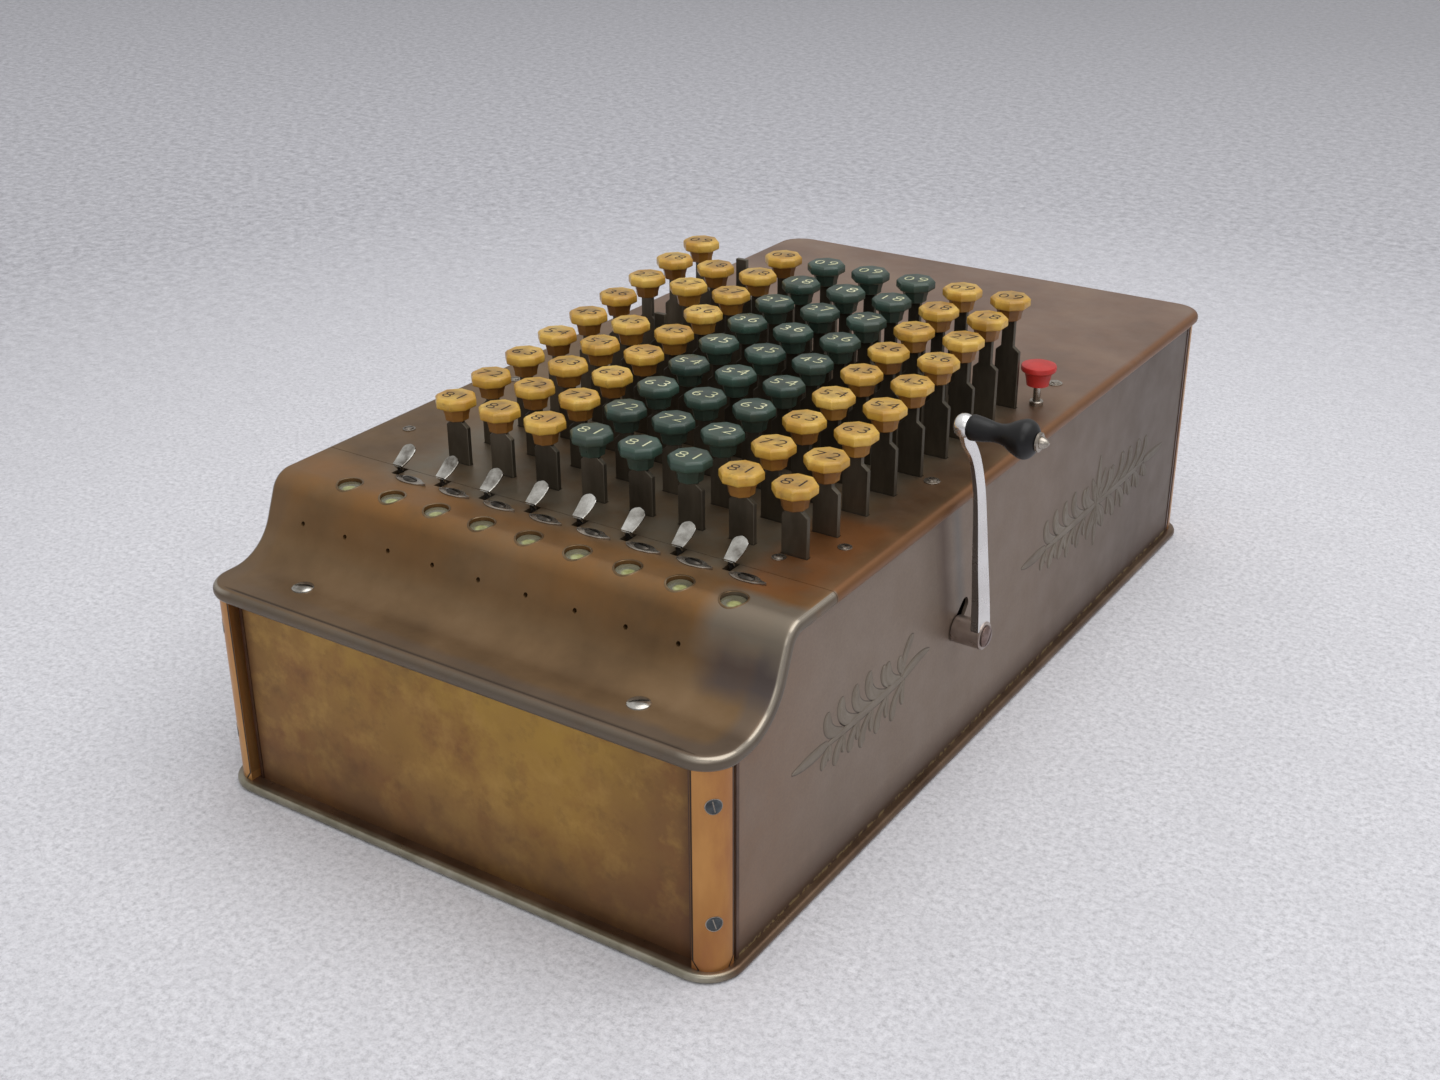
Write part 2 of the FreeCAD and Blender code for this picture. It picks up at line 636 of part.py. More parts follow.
def make_keyboard_cover():
    """The flat cover behind the seam, with a slot for each stem and a bush for the release key."""
    body = new_body("keyboard_cover")
    seam = from_front(f"{SEAM} + seat_gap / 2")
    back = "(base_length / 2 - cover_inset)"
    plan = new_sketch(body, "XY_Plane", "top_height - rim_height")
    rectangle(plan, f"-{COVER_HALF}", seam, COVER_HALF, back)
    solid = pad(body, plan, "rim_height")
    rear = value(back)
    corners = round_edges(body, solid, "cover_corner",
                          lambda edge: upright(edge) and abs(edge.BoundBox.YMin - rear) < 0.01)
    bevel_edges(body, corners, "rim_bevel", "rim_bevel", rim_edges(corners, value(seam)))

    hollow = new_sketch(body, "XY_Plane", SKIN_UNDER)
    rectangle(hollow, f"-({COVER_HALF} - rim_width)", f"{seam} - skin",
              f"{COVER_HALF} - rim_width", f"{back} - rim_width")
    pocket(body, hollow, "rim_height - skin")

    slot = new_sketch(body, "XY_Plane", "top_height")
    rectangle(slot, f"{column_x(1)} - stem_left - slot_gap", f"{row_y(1)} - stem_thickness / 2 - slot_gap",
              f"{column_x(1)} + stem_right + slot_gap", f"{row_y(1)} + stem_thickness / 2 + slot_gap")
    repeat(body, pocket(body, slot, "skin"), slot, (COLUMNS, ROWS), ("column_pitch", "row_pitch"))

    bush = new_sketch(body, "XY_Plane", "top_height")
    ring(bush, RELEASE_X, RELEASE_Y, "boss_radius", TURNED_SIDES)
    pad(body, bush, "boss_height")
    bore = new_sketch(body, "XY_Plane", "top_height + boss_height")
    ring(bore, RELEASE_X, RELEASE_Y, around("release_stem + release_gap", EYE_SIDES), EYE_SIDES)
    pocket(body, bore, "boss_height + skin")
    return body


def make_window_glass():
    """One strip of glass under all nine windows."""
    glass = doc.addObject("Part::Box", "window_glass")
    glass.Label = "window_glass"
    glass.setExpression("Length", bind(f"{window_x(WINDOWS)} - {window_x(1)} + 2 * glass_end"))
    glass.setExpression("Width", bind("2 * glass_half"))
    glass.setExpression("Height", bind("glass_thickness"))
    place(glass, f"{window_x(1)} - glass_end", from_front(f"{SHOULDER} - glass_half"),
          f"{SKIN_UNDER} - glass_thickness")
    return glass


# Frames, rods and guide plate

def make_side_frame(label, side):
    """A channel-shaped frame on the base, just inside the covers' rim."""
    body = new_body(label)
    front = from_front(f"{SHOULDER} - frame_lead")
    rear = f"(base_length / 2 - {RECESS} - frame_tail)"
    shoulder = from_front(f"{SHOULDER} + wheel_back")
    web_lift = FRAME_OUT if side < 0 else f"({FRAME_OUT} - frame_thickness)"
    web = new_sketch(body, "YZ_Plane", f"{side} * {web_lift}")
    outline(web, [
        (front, "base_thickness"), (rear, "base_thickness"), (rear, SKIN_UNDER),
        (shoulder, SKIN_UNDER), (front, f"{SKIN_UNDER} - frame_lead - wheel_back"),
    ])
    pad(body, web, "frame_thickness")
    flange_lift = FRAME_OUT if side < 0 else f"({FRAME_OUT} - flange_width)"
    for start, low in ((front, "base_thickness"), (shoulder, f"({SKIN_UNDER} - flange_thickness)")):
        flange = new_sketch(body, "YZ_Plane", f"{side} * {flange_lift}")
        rectangle(flange, start, low, rear, f"{low} + flange_thickness")
        pad(body, flange, "flange_width")
    face = f"{side} * {FRAME_OUT}"
    bores = [(WHEEL_Y, WHEEL_Z, "rod_radius"), (CUTOFF_Y, CUTOFF_Z, "rod_radius"),
             (PIVOT_Y, "pivot_height", "pivot_radius")]
    if side > 0:
        bores.append((CRANK_Y, "crank_height", "crank_bore"))
    for across, up, radius in bores:
        bore = new_sketch(body, "YZ_Plane", face)
        ring(bore, across, up, around(f"{radius} + running_gap", EYE_SIDES), EYE_SIDES)
        pocket(body, bore, "frame_thickness", reverse=side < 0)
    return body


def make_side_frames():
    """The right frame also carries the crank shaft and guides the release key."""
    left = make_side_frame("left_frame", -1)
    right = make_side_frame("right_frame", 1)
    hole = new_sketch(right, "XY_Plane", SKIN_UNDER)
    ring(hole, RELEASE_X, RELEASE_Y, around("release_stem + release_gap", EYE_SIDES), EYE_SIDES)
    pocket(right, hole, "flange_thickness")
    return group("side_frames", [left, right])


def make_pivot_rods():
    """Three rods between the side frames: number wheels, cut-off levers and column levers."""
    reach = f"({FRAME_OUT} - frame_thickness + rod_overhang)"
    rods = [
        cylinder(label, radius, f"2 * {reach}", f"-{reach}", back, up)
        for label, radius, back, up in (
            ("register_rod", "rod_radius", WHEEL_Y, WHEEL_Z),
            ("cutoff_rod", "rod_radius", CUTOFF_Y, CUTOFF_Z),
            ("column_lever_rod", "pivot_radius", PIVOT_Y, "pivot_height"),
        )
    ]
    return group("pivot_rods", rods)


def make_key_guide_plate():
    """The plate that keeps the stems upright, with one long slot for each column."""
    body = new_body("key_guide_plate")
    half = f"({FRAME_OUT} - frame_thickness - seat_gap)"
    sketch = new_sketch(body, "XY_Plane", "guide_height")
    rectangle(sketch, f"-{half}", f"{row_y(1)} - row_pitch", half, f"{row_y(ROWS)} + row_pitch")
    pad(body, sketch, "guide_thickness", reverse=True)
    slot = new_sketch(body, "XY_Plane", "guide_height")
    rectangle(slot, f"{column_x(1)} - stem_left - slot_gap", f"{row_y(1)} - stem_thickness / 2 - slot_gap",
              f"{column_x(1)} + stem_right + slot_gap", f"{row_y(ROWS)} + stem_thickness / 2 + slot_gap")
    repeat(body, pocket(body, slot, "guide_thickness"), slot, (COLUMNS, 1), ("column_pitch", "column_pitch"))
    return body


# Keys

def make_cap():
    """Octagonal cap with a bevelled top on a square neck, the middle of its top at the origin."""
    body = new_body("cap_pattern")
    head = new_sketch(body, "XY_Plane")
    ring(head, "0", "0", "cap_radius", CAP_SIDES)
    top = pad(body, head, "cap_side", reverse=True)
    bevel_edges(body, top, "cap_bevel", "cap_bevel", lambda edge: edge.BoundBox.ZMin > -0.01)
    neck = new_sketch(body, "XY_Plane", "-cap_side")
    rectangle(neck, "-neck_width / 2", "-neck_width / 2", "neck_width / 2", "neck_width / 2")
    pad(body, neck, "cap_length - cap_side", reverse=True)
    return body


def make_stem(row):
    """One row's stem: a flat plate, wide below its step and pressed into its cap above it."""
    body = new_body(f"stem_pattern_{row}")
    sketch = new_sketch(body, "XZ_Plane", "-stem_thickness / 2")
    foot = f"({LEVER_TOP} + foot_gap)"
    step = f"(top_height + step_height + step_rise * ({row} - 1))"
    top = f"({key_top(row)} - tang_depth)"
    outline(sketch, [
        ("-stem_left", foot), ("stem_right", foot), ("stem_right", step),
        ("shank_right", f"{step} + step_slope"), ("shank_right", top), ("-shank_left", top),
        ("-shank_left", f"{step} + step_slope"), ("-stem_left", step),
    ])
    pad(body, sketch, "stem_thickness")
    return body


def make_keys():
    """Each column's nine stems are one sub-part, and so are its caps."""
    cap = make_cap()
    stems = [make_stem(row) for row in range(1, ROWS + 1)]
    parts = []
    for column in range(1, COLUMNS + 1):
        parts.append(group(f"key_stems_{column}", [
            copy_of(stem, column_x(column), row_y(row)) for row, stem in enumerate(stems, start=1)
        ]))
        parts.append(group(f"key_caps_{column}", [
            copy_of(cap, column_x(column), row_y(row), key_top(row))
            for row in range(1, ROWS + 1) if (column, row) not in MISSING_CAPS
        ]))
    return parts


# Column levers, number wheels and cut-off levers

def make_column_lever(column):
    """A long bar under a key column; its upright segment drives the number wheel's pinion."""
    body = new_body(f"column_lever_{column}")
    sketch = new_sketch(body, "YZ_Plane", f"{column_x(column)} + lever_side - lever_thickness / 2")
    reach = f"({PIVOT_Y} - {WHEEL_Y})"
    climb = f"({WHEEL_Z} - pivot_height)"
    arc = f"(sqrt({reach} * {reach} + {climb} * {climb}) - pinion_radius - mesh_gap)"
    rack_top = f"({SKIN_UNDER} - rack_gap)"
    low = "(pivot_height - lever_depth / 2)"

    def rack_y(height):
        return f"{PIVOT_Y} - sqrt({arc} * {arc} - ({height} - pivot_height) * ({height} - pivot_height))"

    rear_y = f"{rack_y(rack_top)} + rack_width"
    outline(sketch, [
        (f"{PIVOT_Y} + lever_eye", low), (f"{PIVOT_Y} + lever_eye", LEVER_TOP),
        (rear_y, LEVER_TOP), (rear_y, rack_top), (rack_y(rack_top), rack_top),
        (rack_y(low), low, arc, 1),
    ])
    pad(body, sketch, "lever_thickness")
    bore = new_sketch(body, "YZ_Plane", f"{column_x(column)} + lever_side + lever_thickness / 2")
    ring(bore, PIVOT_Y, "pivot_height", around("pivot_radius + running_gap", BORE_SIDES), BORE_SIDES)
    pocket(body, bore, "lever_thickness")
    return body


def make_number_wheel(window):
    """A drum with its pinion beside it, both running on the register rod."""
    label = f"number_wheel_{window}"
    start = f"({window_x(window)} - drum_width / 2)"
    drum = prism(f"drum_{window}", DRUM_SIDES, "drum_radius", "drum_width", start, WHEEL_Y, WHEEL_Z)
    pinion = prism(f"pinion_{window}", PINION_SIDES, "pinion_radius", "drum_width + pinion_width",
                   start, WHEEL_Y, WHEEL_Z)
    blank = doc.addObject("Part::MultiFuse", f"wheel_blank_{window}")
    blank.Shapes = [drum, pinion]
    bore = prism(f"bore_{window}", BORE_SIDES, around("rod_radius + running_gap", BORE_SIDES),
                 "drum_width + pinion_width", start, WHEEL_Y, WHEEL_Z)
    wheel = doc.addObject("Part::Cut", label)
    wheel.Label = label
    wheel.Base = blank
    wheel.Tool = bore
    return wheel


def make_cutoff_lever(window):
    """A bent strip: an eye on its rod, a shank through the notch and a tab that leans back."""
    body = new_body(f"cutoff_lever_{window}")
    middle = f"({window_x(window)} + cutoff_right)"
    strip = new_sketch(body, "YZ_Plane", f"{middle} - cutoff_tip / 2")
    half = "cutoff_sheet / 2"
    bend = "(top_height + cutoff_bend)"
    along, rise = "cutoff_tab * cos(cutoff_lean)", "cutoff_tab * sin(cutoff_lean)"
    outline(strip, [
        (f"{CUTOFF_Y} - {half}", CUTOFF_Z), (f"{CUTOFF_Y} + {half}", CUTOFF_Z),
        (f"{CUTOFF_Y} + {half}", f"{bend} - {half}"),
        (f"{CUTOFF_Y} + {along} + {half} * sin(cutoff_lean)", f"{bend} + {rise} - {half} * cos(cutoff_lean)"),
        (f"{CUTOFF_Y} + {along} - {half} * sin(cutoff_lean)", f"{bend} + {rise} + {half} * cos(cutoff_lean)"),
        (f"{CUTOFF_Y} - {half}", f"{bend} + {half}"),
    ])
    blade = pad(body, strip, "cutoff_tip")
    tip = value(f"{bend} + {rise} - cutoff_sheet")
    bevel_edges(body, blade, "cutoff_tip * 0.3", "cutoff_tip * 0.3",
                lambda edge: edge.BoundBox.XLength < 0.01 and edge.BoundBox.ZMin > tip
                and edge.Length < value("cutoff_sheet") * 1.01)
    for side in (-1, 1):
        trim = new_sketch(body, "XY_Plane", "top_height + cutoff_tab")
        outline(trim, [
            (f"{middle} + {side} * cutoff_width / 2", f"{CUTOFF_Y} - cutoff_sheet"),
            (f"{middle} + {side} * cutoff_width / 2", f"{CUTOFF_Y} + cutoff_sheet"),
            (f"{middle} + {side} * cutoff_tip / 2", f"{CUTOFF_Y} + {along} * 0.6"),
            (f"{middle} + {side} * cutoff_tip", f"{CUTOFF_Y} + {along} * 0.6"),
            (f"{middle} + {side} * cutoff_tip", f"{CUTOFF_Y} - cutoff_sheet"),
        ])
        pocket(body, trim, "cutoff_tab + cutoff_depth + cutoff_sheet")
    left = f"({middle} - cutoff_width / 2)"
    eye = new_sketch(body, "YZ_Plane", left)
    ring(eye, CUTOFF_Y, CUTOFF_Z, "cutoff_eye", EYE_SIDES)
    pad(body, eye, "cutoff_width")
    bore = new_sketch(body, "YZ_Plane", left)
    ring(bore, CUTOFF_Y, CUTOFF_Z, around("rod_radius + running_gap", BORE_SIDES), BORE_SIDES)
    pocket(body, bore, "cutoff_width", reverse=True)
    return body


def make_leaf_plates():
    """Small pointed plates beside the cut-off levers, on the register cover."""
    body = new_body("leaf_plate_pattern")
    sketch = new_sketch(body, "XY_Plane", "top_height")
    middle = from_front(f"{SEAM} - plate_ahead")
    widths = ((0.0, 0.35), (0.2, 0.5), (0.5, 0.5), (0.75, 0.22))
    upper = [(f"plate_length * {along}", f"{middle} + plate_width * {half}") for along, half in widths]
    lower = [(f"plate_length * {along}", f"{middle} - plate_width * {half}") for along, half in widths]
    outline(sketch, lower + [("plate_length", middle)] + upper[::-1])
    pad(body, sketch, "plate_thickness")
    return group("leaf_plates", [
        copy_of(body, f"{window_x(window)} + cutoff_right + plate_left") for window in range(1, COLUMNS + 1)
    ])


# Clearing crank

def stack(body, role, across, up, runs):
    """Pad prisms one after another along a plane's normal: each run is its start, length and radius."""
    for start, length, radius in runs:
        section = new_sketch(body, role, start)
        ring(section, across, up, radius, TURNED_SIDES)
        pad(body, section, length)


def round_run(body, across, up, start, length, radius):
    """Pad one true cylinder along +X, for what turns on it or in it."""
    section = new_sketch(body, "YZ_Plane", start)
    circle(section, across, up, radius)
    pad(body, section, length)


def make_crank_shaft():
    """A turned shaft: collar inside the frame, journal, and the domed screw that holds the arm."""
    body = new_body("crank_shaft")
    inner = f"({FRAME_OUT} - frame_thickness - seat_gap)"
    head = f"({HUB_END} + seat_gap / 2)"
    stack(body, "YZ_Plane", "0", "0", (
        (f"{inner} - crank_inner", f"{head} - {inner} + crank_inner", "crank_bore"),
        (f"{inner} - crank_collar / 2", "crank_collar / 2", "crank_collar"),
        (head, "screw_height", "screw_head"),
    ))
    far = value(f"{head} + screw_height")
    bevel_edges(body, body.Tip, "screw_height * 0.6", "screw_height * 0.6",
                lambda edge: edge.BoundBox.XMin > far - 0.01)
    place(body, "0", CRANK_Y, "crank_height")
    return body


def make_crank_arm():
    """Hub, tapered arm that crooks forward, eye, pin and end washer, with the hub's axis at the origin."""
    body = new_body("crank_arm")
    hub_start = f"({PANEL_FACE} + seat_gap)"
    round_run(body, "0", "0", hub_start, "hub_length", "hub_radius")
    bend = "arm_straight + (arm_reach - arm_straight) * 0.4"
    low, high = "arm_width_low / 2", "arm_width_high / 2"
    blade = new_sketch(body, "YZ_Plane", f"{ARM_X} - arm_sheet / 2")
    outline(blade, [
        (low, "0"), (high, "arm_straight"), (f"{high} - arm_crook * 0.25", bend),
        (f"{high} - arm_crook * 0.7", "arm_reach"), (f"-{high} - arm_crook", "arm_reach - eye_radius / 2"),
        (f"-{high} - arm_crook * 0.3", bend), (f"-{high}", "arm_straight"), (f"-{low}", "0"),
    ])
    pad(body, blade, "arm_sheet")
    washer = f"({KNOB_X} + knob_length + seat_gap)"
    stack(body, "YZ_Plane", "-arm_crook", "arm_reach", (
        (f"{ARM_X} - eye_length / 2", "eye_length", "eye_radius"),
        (washer, "washer_sheet", "washer_radius"),
    ))
    round_run(body, "-arm_crook", "arm_reach", ARM_X, f"{washer} - {ARM_X} + washer_sheet + pin_end",
              "pin_radius")
    bore = new_sketch(body, "YZ_Plane", hub_start)
    ring(bore, "0", "0", around("crank_bore + running_gap", TURNED_SIDES), TURNED_SIDES)
    pocket(body, bore, "hub_length", reverse=True)
    body.Placement.Rotation = FreeCAD.Rotation(FreeCAD.Vector(1, 0, 0), value("arm_lean"))
    body.setExpression("Placement.Rotation.Angle", bind("arm_lean"))
    place(body, "0", CRANK_Y, "crank_height")
    return body


def make_crank_knob():
    """The turned knob: straight beside the eye, waisted, then a bulb."""
    body = new_body("crank_knob")
    waist = "knob_length * 0.45"
    stack(body, "YZ_Plane", "0", "0", ((KNOB_X, waist, "knob_base"),))
    at_waist = value(f"{KNOB_X} + {waist}")
    end = value(f"{KNOB_X} + knob_length")
    bevel_edges(body, body.Tip, "knob_length * 0.22", "knob_base - knob_waist",
                lambda edge: edge.BoundBox.XMin > at_waist - 0.01)
    stack(body, "YZ_Plane", "0", "0", ((f"{KNOB_X} + {waist}", f"knob_length - {waist}", "knob_bulb"),))
    shortest = value("knob_bulb") * 0.38
    bevel_edges(body, body.Tip, "knob_length * 0.34", "0.9 * (knob_bulb - knob_waist)",
                lambda edge: abs(edge.BoundBox.XMin - at_waist) < 0.01 and edge.BoundBox.XLength < 0.01
                and edge.Length > shortest, flip=True)
    bevel_edges(body, body.Tip, "knob_bulb * 0.35", "knob_bulb * 0.35",
                lambda edge: edge.BoundBox.XMin > end - 0.01)
    bore = new_sketch(body, "YZ_Plane", KNOB_X)
    ring(bore, "0", "0", around("pin_radius + running_gap", TURNED_SIDES), TURNED_SIDES)
    pocket(body, bore, "knob_length", reverse=True)
    place(body, "0", f"{CRANK_Y} - arm_crook * cos(arm_lean) - arm_reach * sin(arm_lean)",
          "crank_height + arm_reach * cos(arm_lean) - arm_crook * sin(arm_lean)")
    return body


# Release key

def make_release_key():
    """A cap on a round stem beside the last key rows, with a collar that stops it under the frame."""
    cap = new_body("release_key_cap")
    top = "(top_height + release_height)"
    stack(cap, "XY_Plane", "0", "0", ((f"{top} - release_length", "release_length", "release_cap"),))
    lower = value(f"{top} - release_length")
    bevel_edges(cap, cap.Tip, "release_length - release_side", "release_cap - release_foot",
                lambda edge: edge.BoundBox.ZMax < lower + 0.01)
    place(cap, RELEASE_X, RELEASE_Y)
    stem = new_body("release_key_stem")
    collar_top = f"({SKIN_UNDER} - flange_thickness - release_gap)"
    foot = f"({collar_top} - 2 * release_stop)"
    stack(stem, "XY_Plane", "0", "0", (
        (foot, f"{top} - release_length / 2 - {foot}", "release_stem"),
        (f"{collar_top} - release_stem", "release_stem", "release_stop"),
    ))
    place(stem, RELEASE_X, RELEASE_Y)
    return [cap, stem]


def build():
    parts = [make_base_plate(), make_front_panel(), make_rear_panel(),
             make_side_panel("left_side_panel", -1), make_right_side_panel(), make_corner_posts(),
             make_register_cover(), make_keyboard_cover(), make_window_glass(),
             make_leaf_plates(), make_side_frames(), make_key_guide_plate(), make_pivot_rods()]
    parts += make_keys()
    parts += [make_column_lever(column) for column in range(1, COLUMNS + 1)]
    parts += [make_number_wheel(window) for window in range(1, WINDOWS + 1)]
    parts += [make_cutoff_lever(window) for window in range(1, COLUMNS + 1)]
    parts += [make_crank_shaft(), make_crank_arm(), make_crank_knob()]
    parts += make_release_key()
    doc.recompute()
    return parts


def write(parts):
    """Export every sub-part once all of them are sound."""
    for item in doc.Objects:
        if "Invalid" in item.State or "Error" in item.State:
            raise RuntimeError(f"{item.Name} did not build: {item.State}")
    for part in parts:
        if part.Shape.isNull() or not part.Shape.isValid() or not part.Shape.Solids:
            raise RuntimeError(f"{part.Label} has no sound shape")
    os.makedirs("parts", exist_ok=True)
    for part in parts:
        part.Shape.exportStep(f"parts/{part.Label}.step")
        print(f"{part.Label}: {len(part.Shape.Solids)} solid(s), {part.Shape.Volume:.1f} mm3")


write(build())
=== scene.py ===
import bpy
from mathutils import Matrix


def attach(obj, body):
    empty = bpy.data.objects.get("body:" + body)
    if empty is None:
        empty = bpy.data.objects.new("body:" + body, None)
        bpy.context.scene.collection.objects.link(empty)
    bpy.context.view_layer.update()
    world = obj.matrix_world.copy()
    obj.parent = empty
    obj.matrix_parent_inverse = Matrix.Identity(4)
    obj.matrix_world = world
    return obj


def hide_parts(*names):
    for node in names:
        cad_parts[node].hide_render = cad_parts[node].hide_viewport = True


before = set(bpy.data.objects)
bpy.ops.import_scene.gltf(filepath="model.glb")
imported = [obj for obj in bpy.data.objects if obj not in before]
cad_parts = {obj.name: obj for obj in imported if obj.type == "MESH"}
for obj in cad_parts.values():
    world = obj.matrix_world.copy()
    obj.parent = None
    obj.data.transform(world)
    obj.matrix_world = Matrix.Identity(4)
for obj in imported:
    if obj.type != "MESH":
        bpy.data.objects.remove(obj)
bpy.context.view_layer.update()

import math
from contextlib import contextmanager
from itertools import product

import bmesh
import bpy
from mathutils import Matrix, Quaternion, Vector

# Sizes in millimetres, in the CAD frame: +X right, +Y back, +Z up, origin under the base's middle
BASE_HALF_X, BASE_HALF_Y, BASE_TOP, BASE_CORNER, BASE_ROUND = 103.5, 190.0, 3.2, 13.0, 1.5
COVER_HALF, COVER_END, CORNER = 102.8, 189.3, 12.0
RIM, RIM_WIDTH, RIM_ROUND, SKIN, SEAT = 5.0, 5.5, 2.3, 3.0, 0.1
LIP_Z, TOP_Z = 77.6, 104.0
LOW_R, HIGH_R, SLOPE = 18.0, 9.0, math.radians(68)
LOW_START, SHOULDER, SEAM = -173.8, -144.922, -125.522
GROOVE, GROOVE_HALF, GROOVE_DEPTH = 3.0, 0.6, 0.3
PITCH, ROW_PITCH = 19.05, 18.6
ROW_ONE = SEAM + 14.4
FIRST_KEY_TOP, KEY_RISE = 24.5, 2.18
PANEL_X, PANEL_Y = 100.3, 183.7
POST_FACE, POST_SIZE, POST_ROUND = 3.0, 9.0, 8.0
WINDOW_R = 4.1
LEVER_RIGHT, LEVER_FRONT, LEVER_DEPTH = 7.2, 2.0, 9.5
CRANK_Y, CRANK_Z, HUB_START, HUB_END = -37.5, 51.5, 100.5, 111.5
EYE_Y, EYE_Z = -59.874, 135.721
RELEASE = (88.9, 45.118, 0.0)
COLUMNS, ROWS, WINDOWS, DIGITS = 8, 9, 9, 10
MISSING = {(2, 6), (2, 9)}
GREEN_COLUMNS = (4, 5, 6)
UP, BACK, ACROSS = (0, 0, 1), (0, 1, 0), (1, 0, 0)
SIDES = (-1, 1)


def column_x(column):
    return 3.0 + PITCH * (column - 4)


def window_x(window):
    return 3.0 + PITCH * (window - 5)


def lever_x(window):
    return window_x(window) + LEVER_RIGHT


def row_y(row):
    return ROW_ONE + ROW_PITCH * (row - 1)


def key_top(row):
    return TOP_Z + FIRST_KEY_TOP + KEY_RISE * (row - 1)


WINDOW_PLACES = [window_x(window) for window in range(1, WINDOWS + 1)]
LEVER_PLACES = [lever_x(window) for window in range(1, COLUMNS + 1)]


# Materials, with colours as hex sRGB values

def linear(colour):
    """Scene-linear values of a colour."""
    shares = (int(colour[start:start + 2], 16) / 255 for start in (0, 2, 4))
    return tuple(c / 12.92 if c <= 0.04045 else ((c + 0.055) / 1.055) ** 2.4 for c in shares)


class Tree:
    """Adds and links shader nodes."""

    def __init__(self, tree):
        self.tree = tree

    def feed(self, node, values):
        """Give a node's inputs numbers, vectors, colours or other nodes' outputs."""
        for key, value in values.items():
            if isinstance(value, bpy.types.NodeSocket):
                self.tree.links.new(value, node.inputs[key])
            else:
                node.inputs[key].default_value = (*linear(value), 1) if isinstance(value, str) else value

    def node(self, kind, output, inputs=None, **settings):
        """Add a node and return one of its outputs."""
        node = self.tree.nodes.new(kind)
        for key, value in settings.items():
            setattr(node, key, value)
        self.feed(node, inputs or {})
        return node.outputs[output]

    def span(self, source, low, high, start=0.0, end=1.0):
        inputs = {"Value": source, "From Min": low, "From Max": high, "To Min": start, "To Max": end}
        return self.node("ShaderNodeMapRange", "Result", inputs, clamp=True)

    def math(self, operation, *values):
        return self.node("ShaderNodeMath", 0, dict(enumerate(values)), operation=operation)

    def both(self, *masks):
        """Product of masks and shares."""
        result = masks[0]
        for mask in masks[1:]:
            result = self.math("MULTIPLY", result, mask)
        return result


# Places of a mix node's colour sockets, which share their names with its other sockets
MIX_UNDER, MIX_OVER, MIX_RESULT = 6, 7, 2


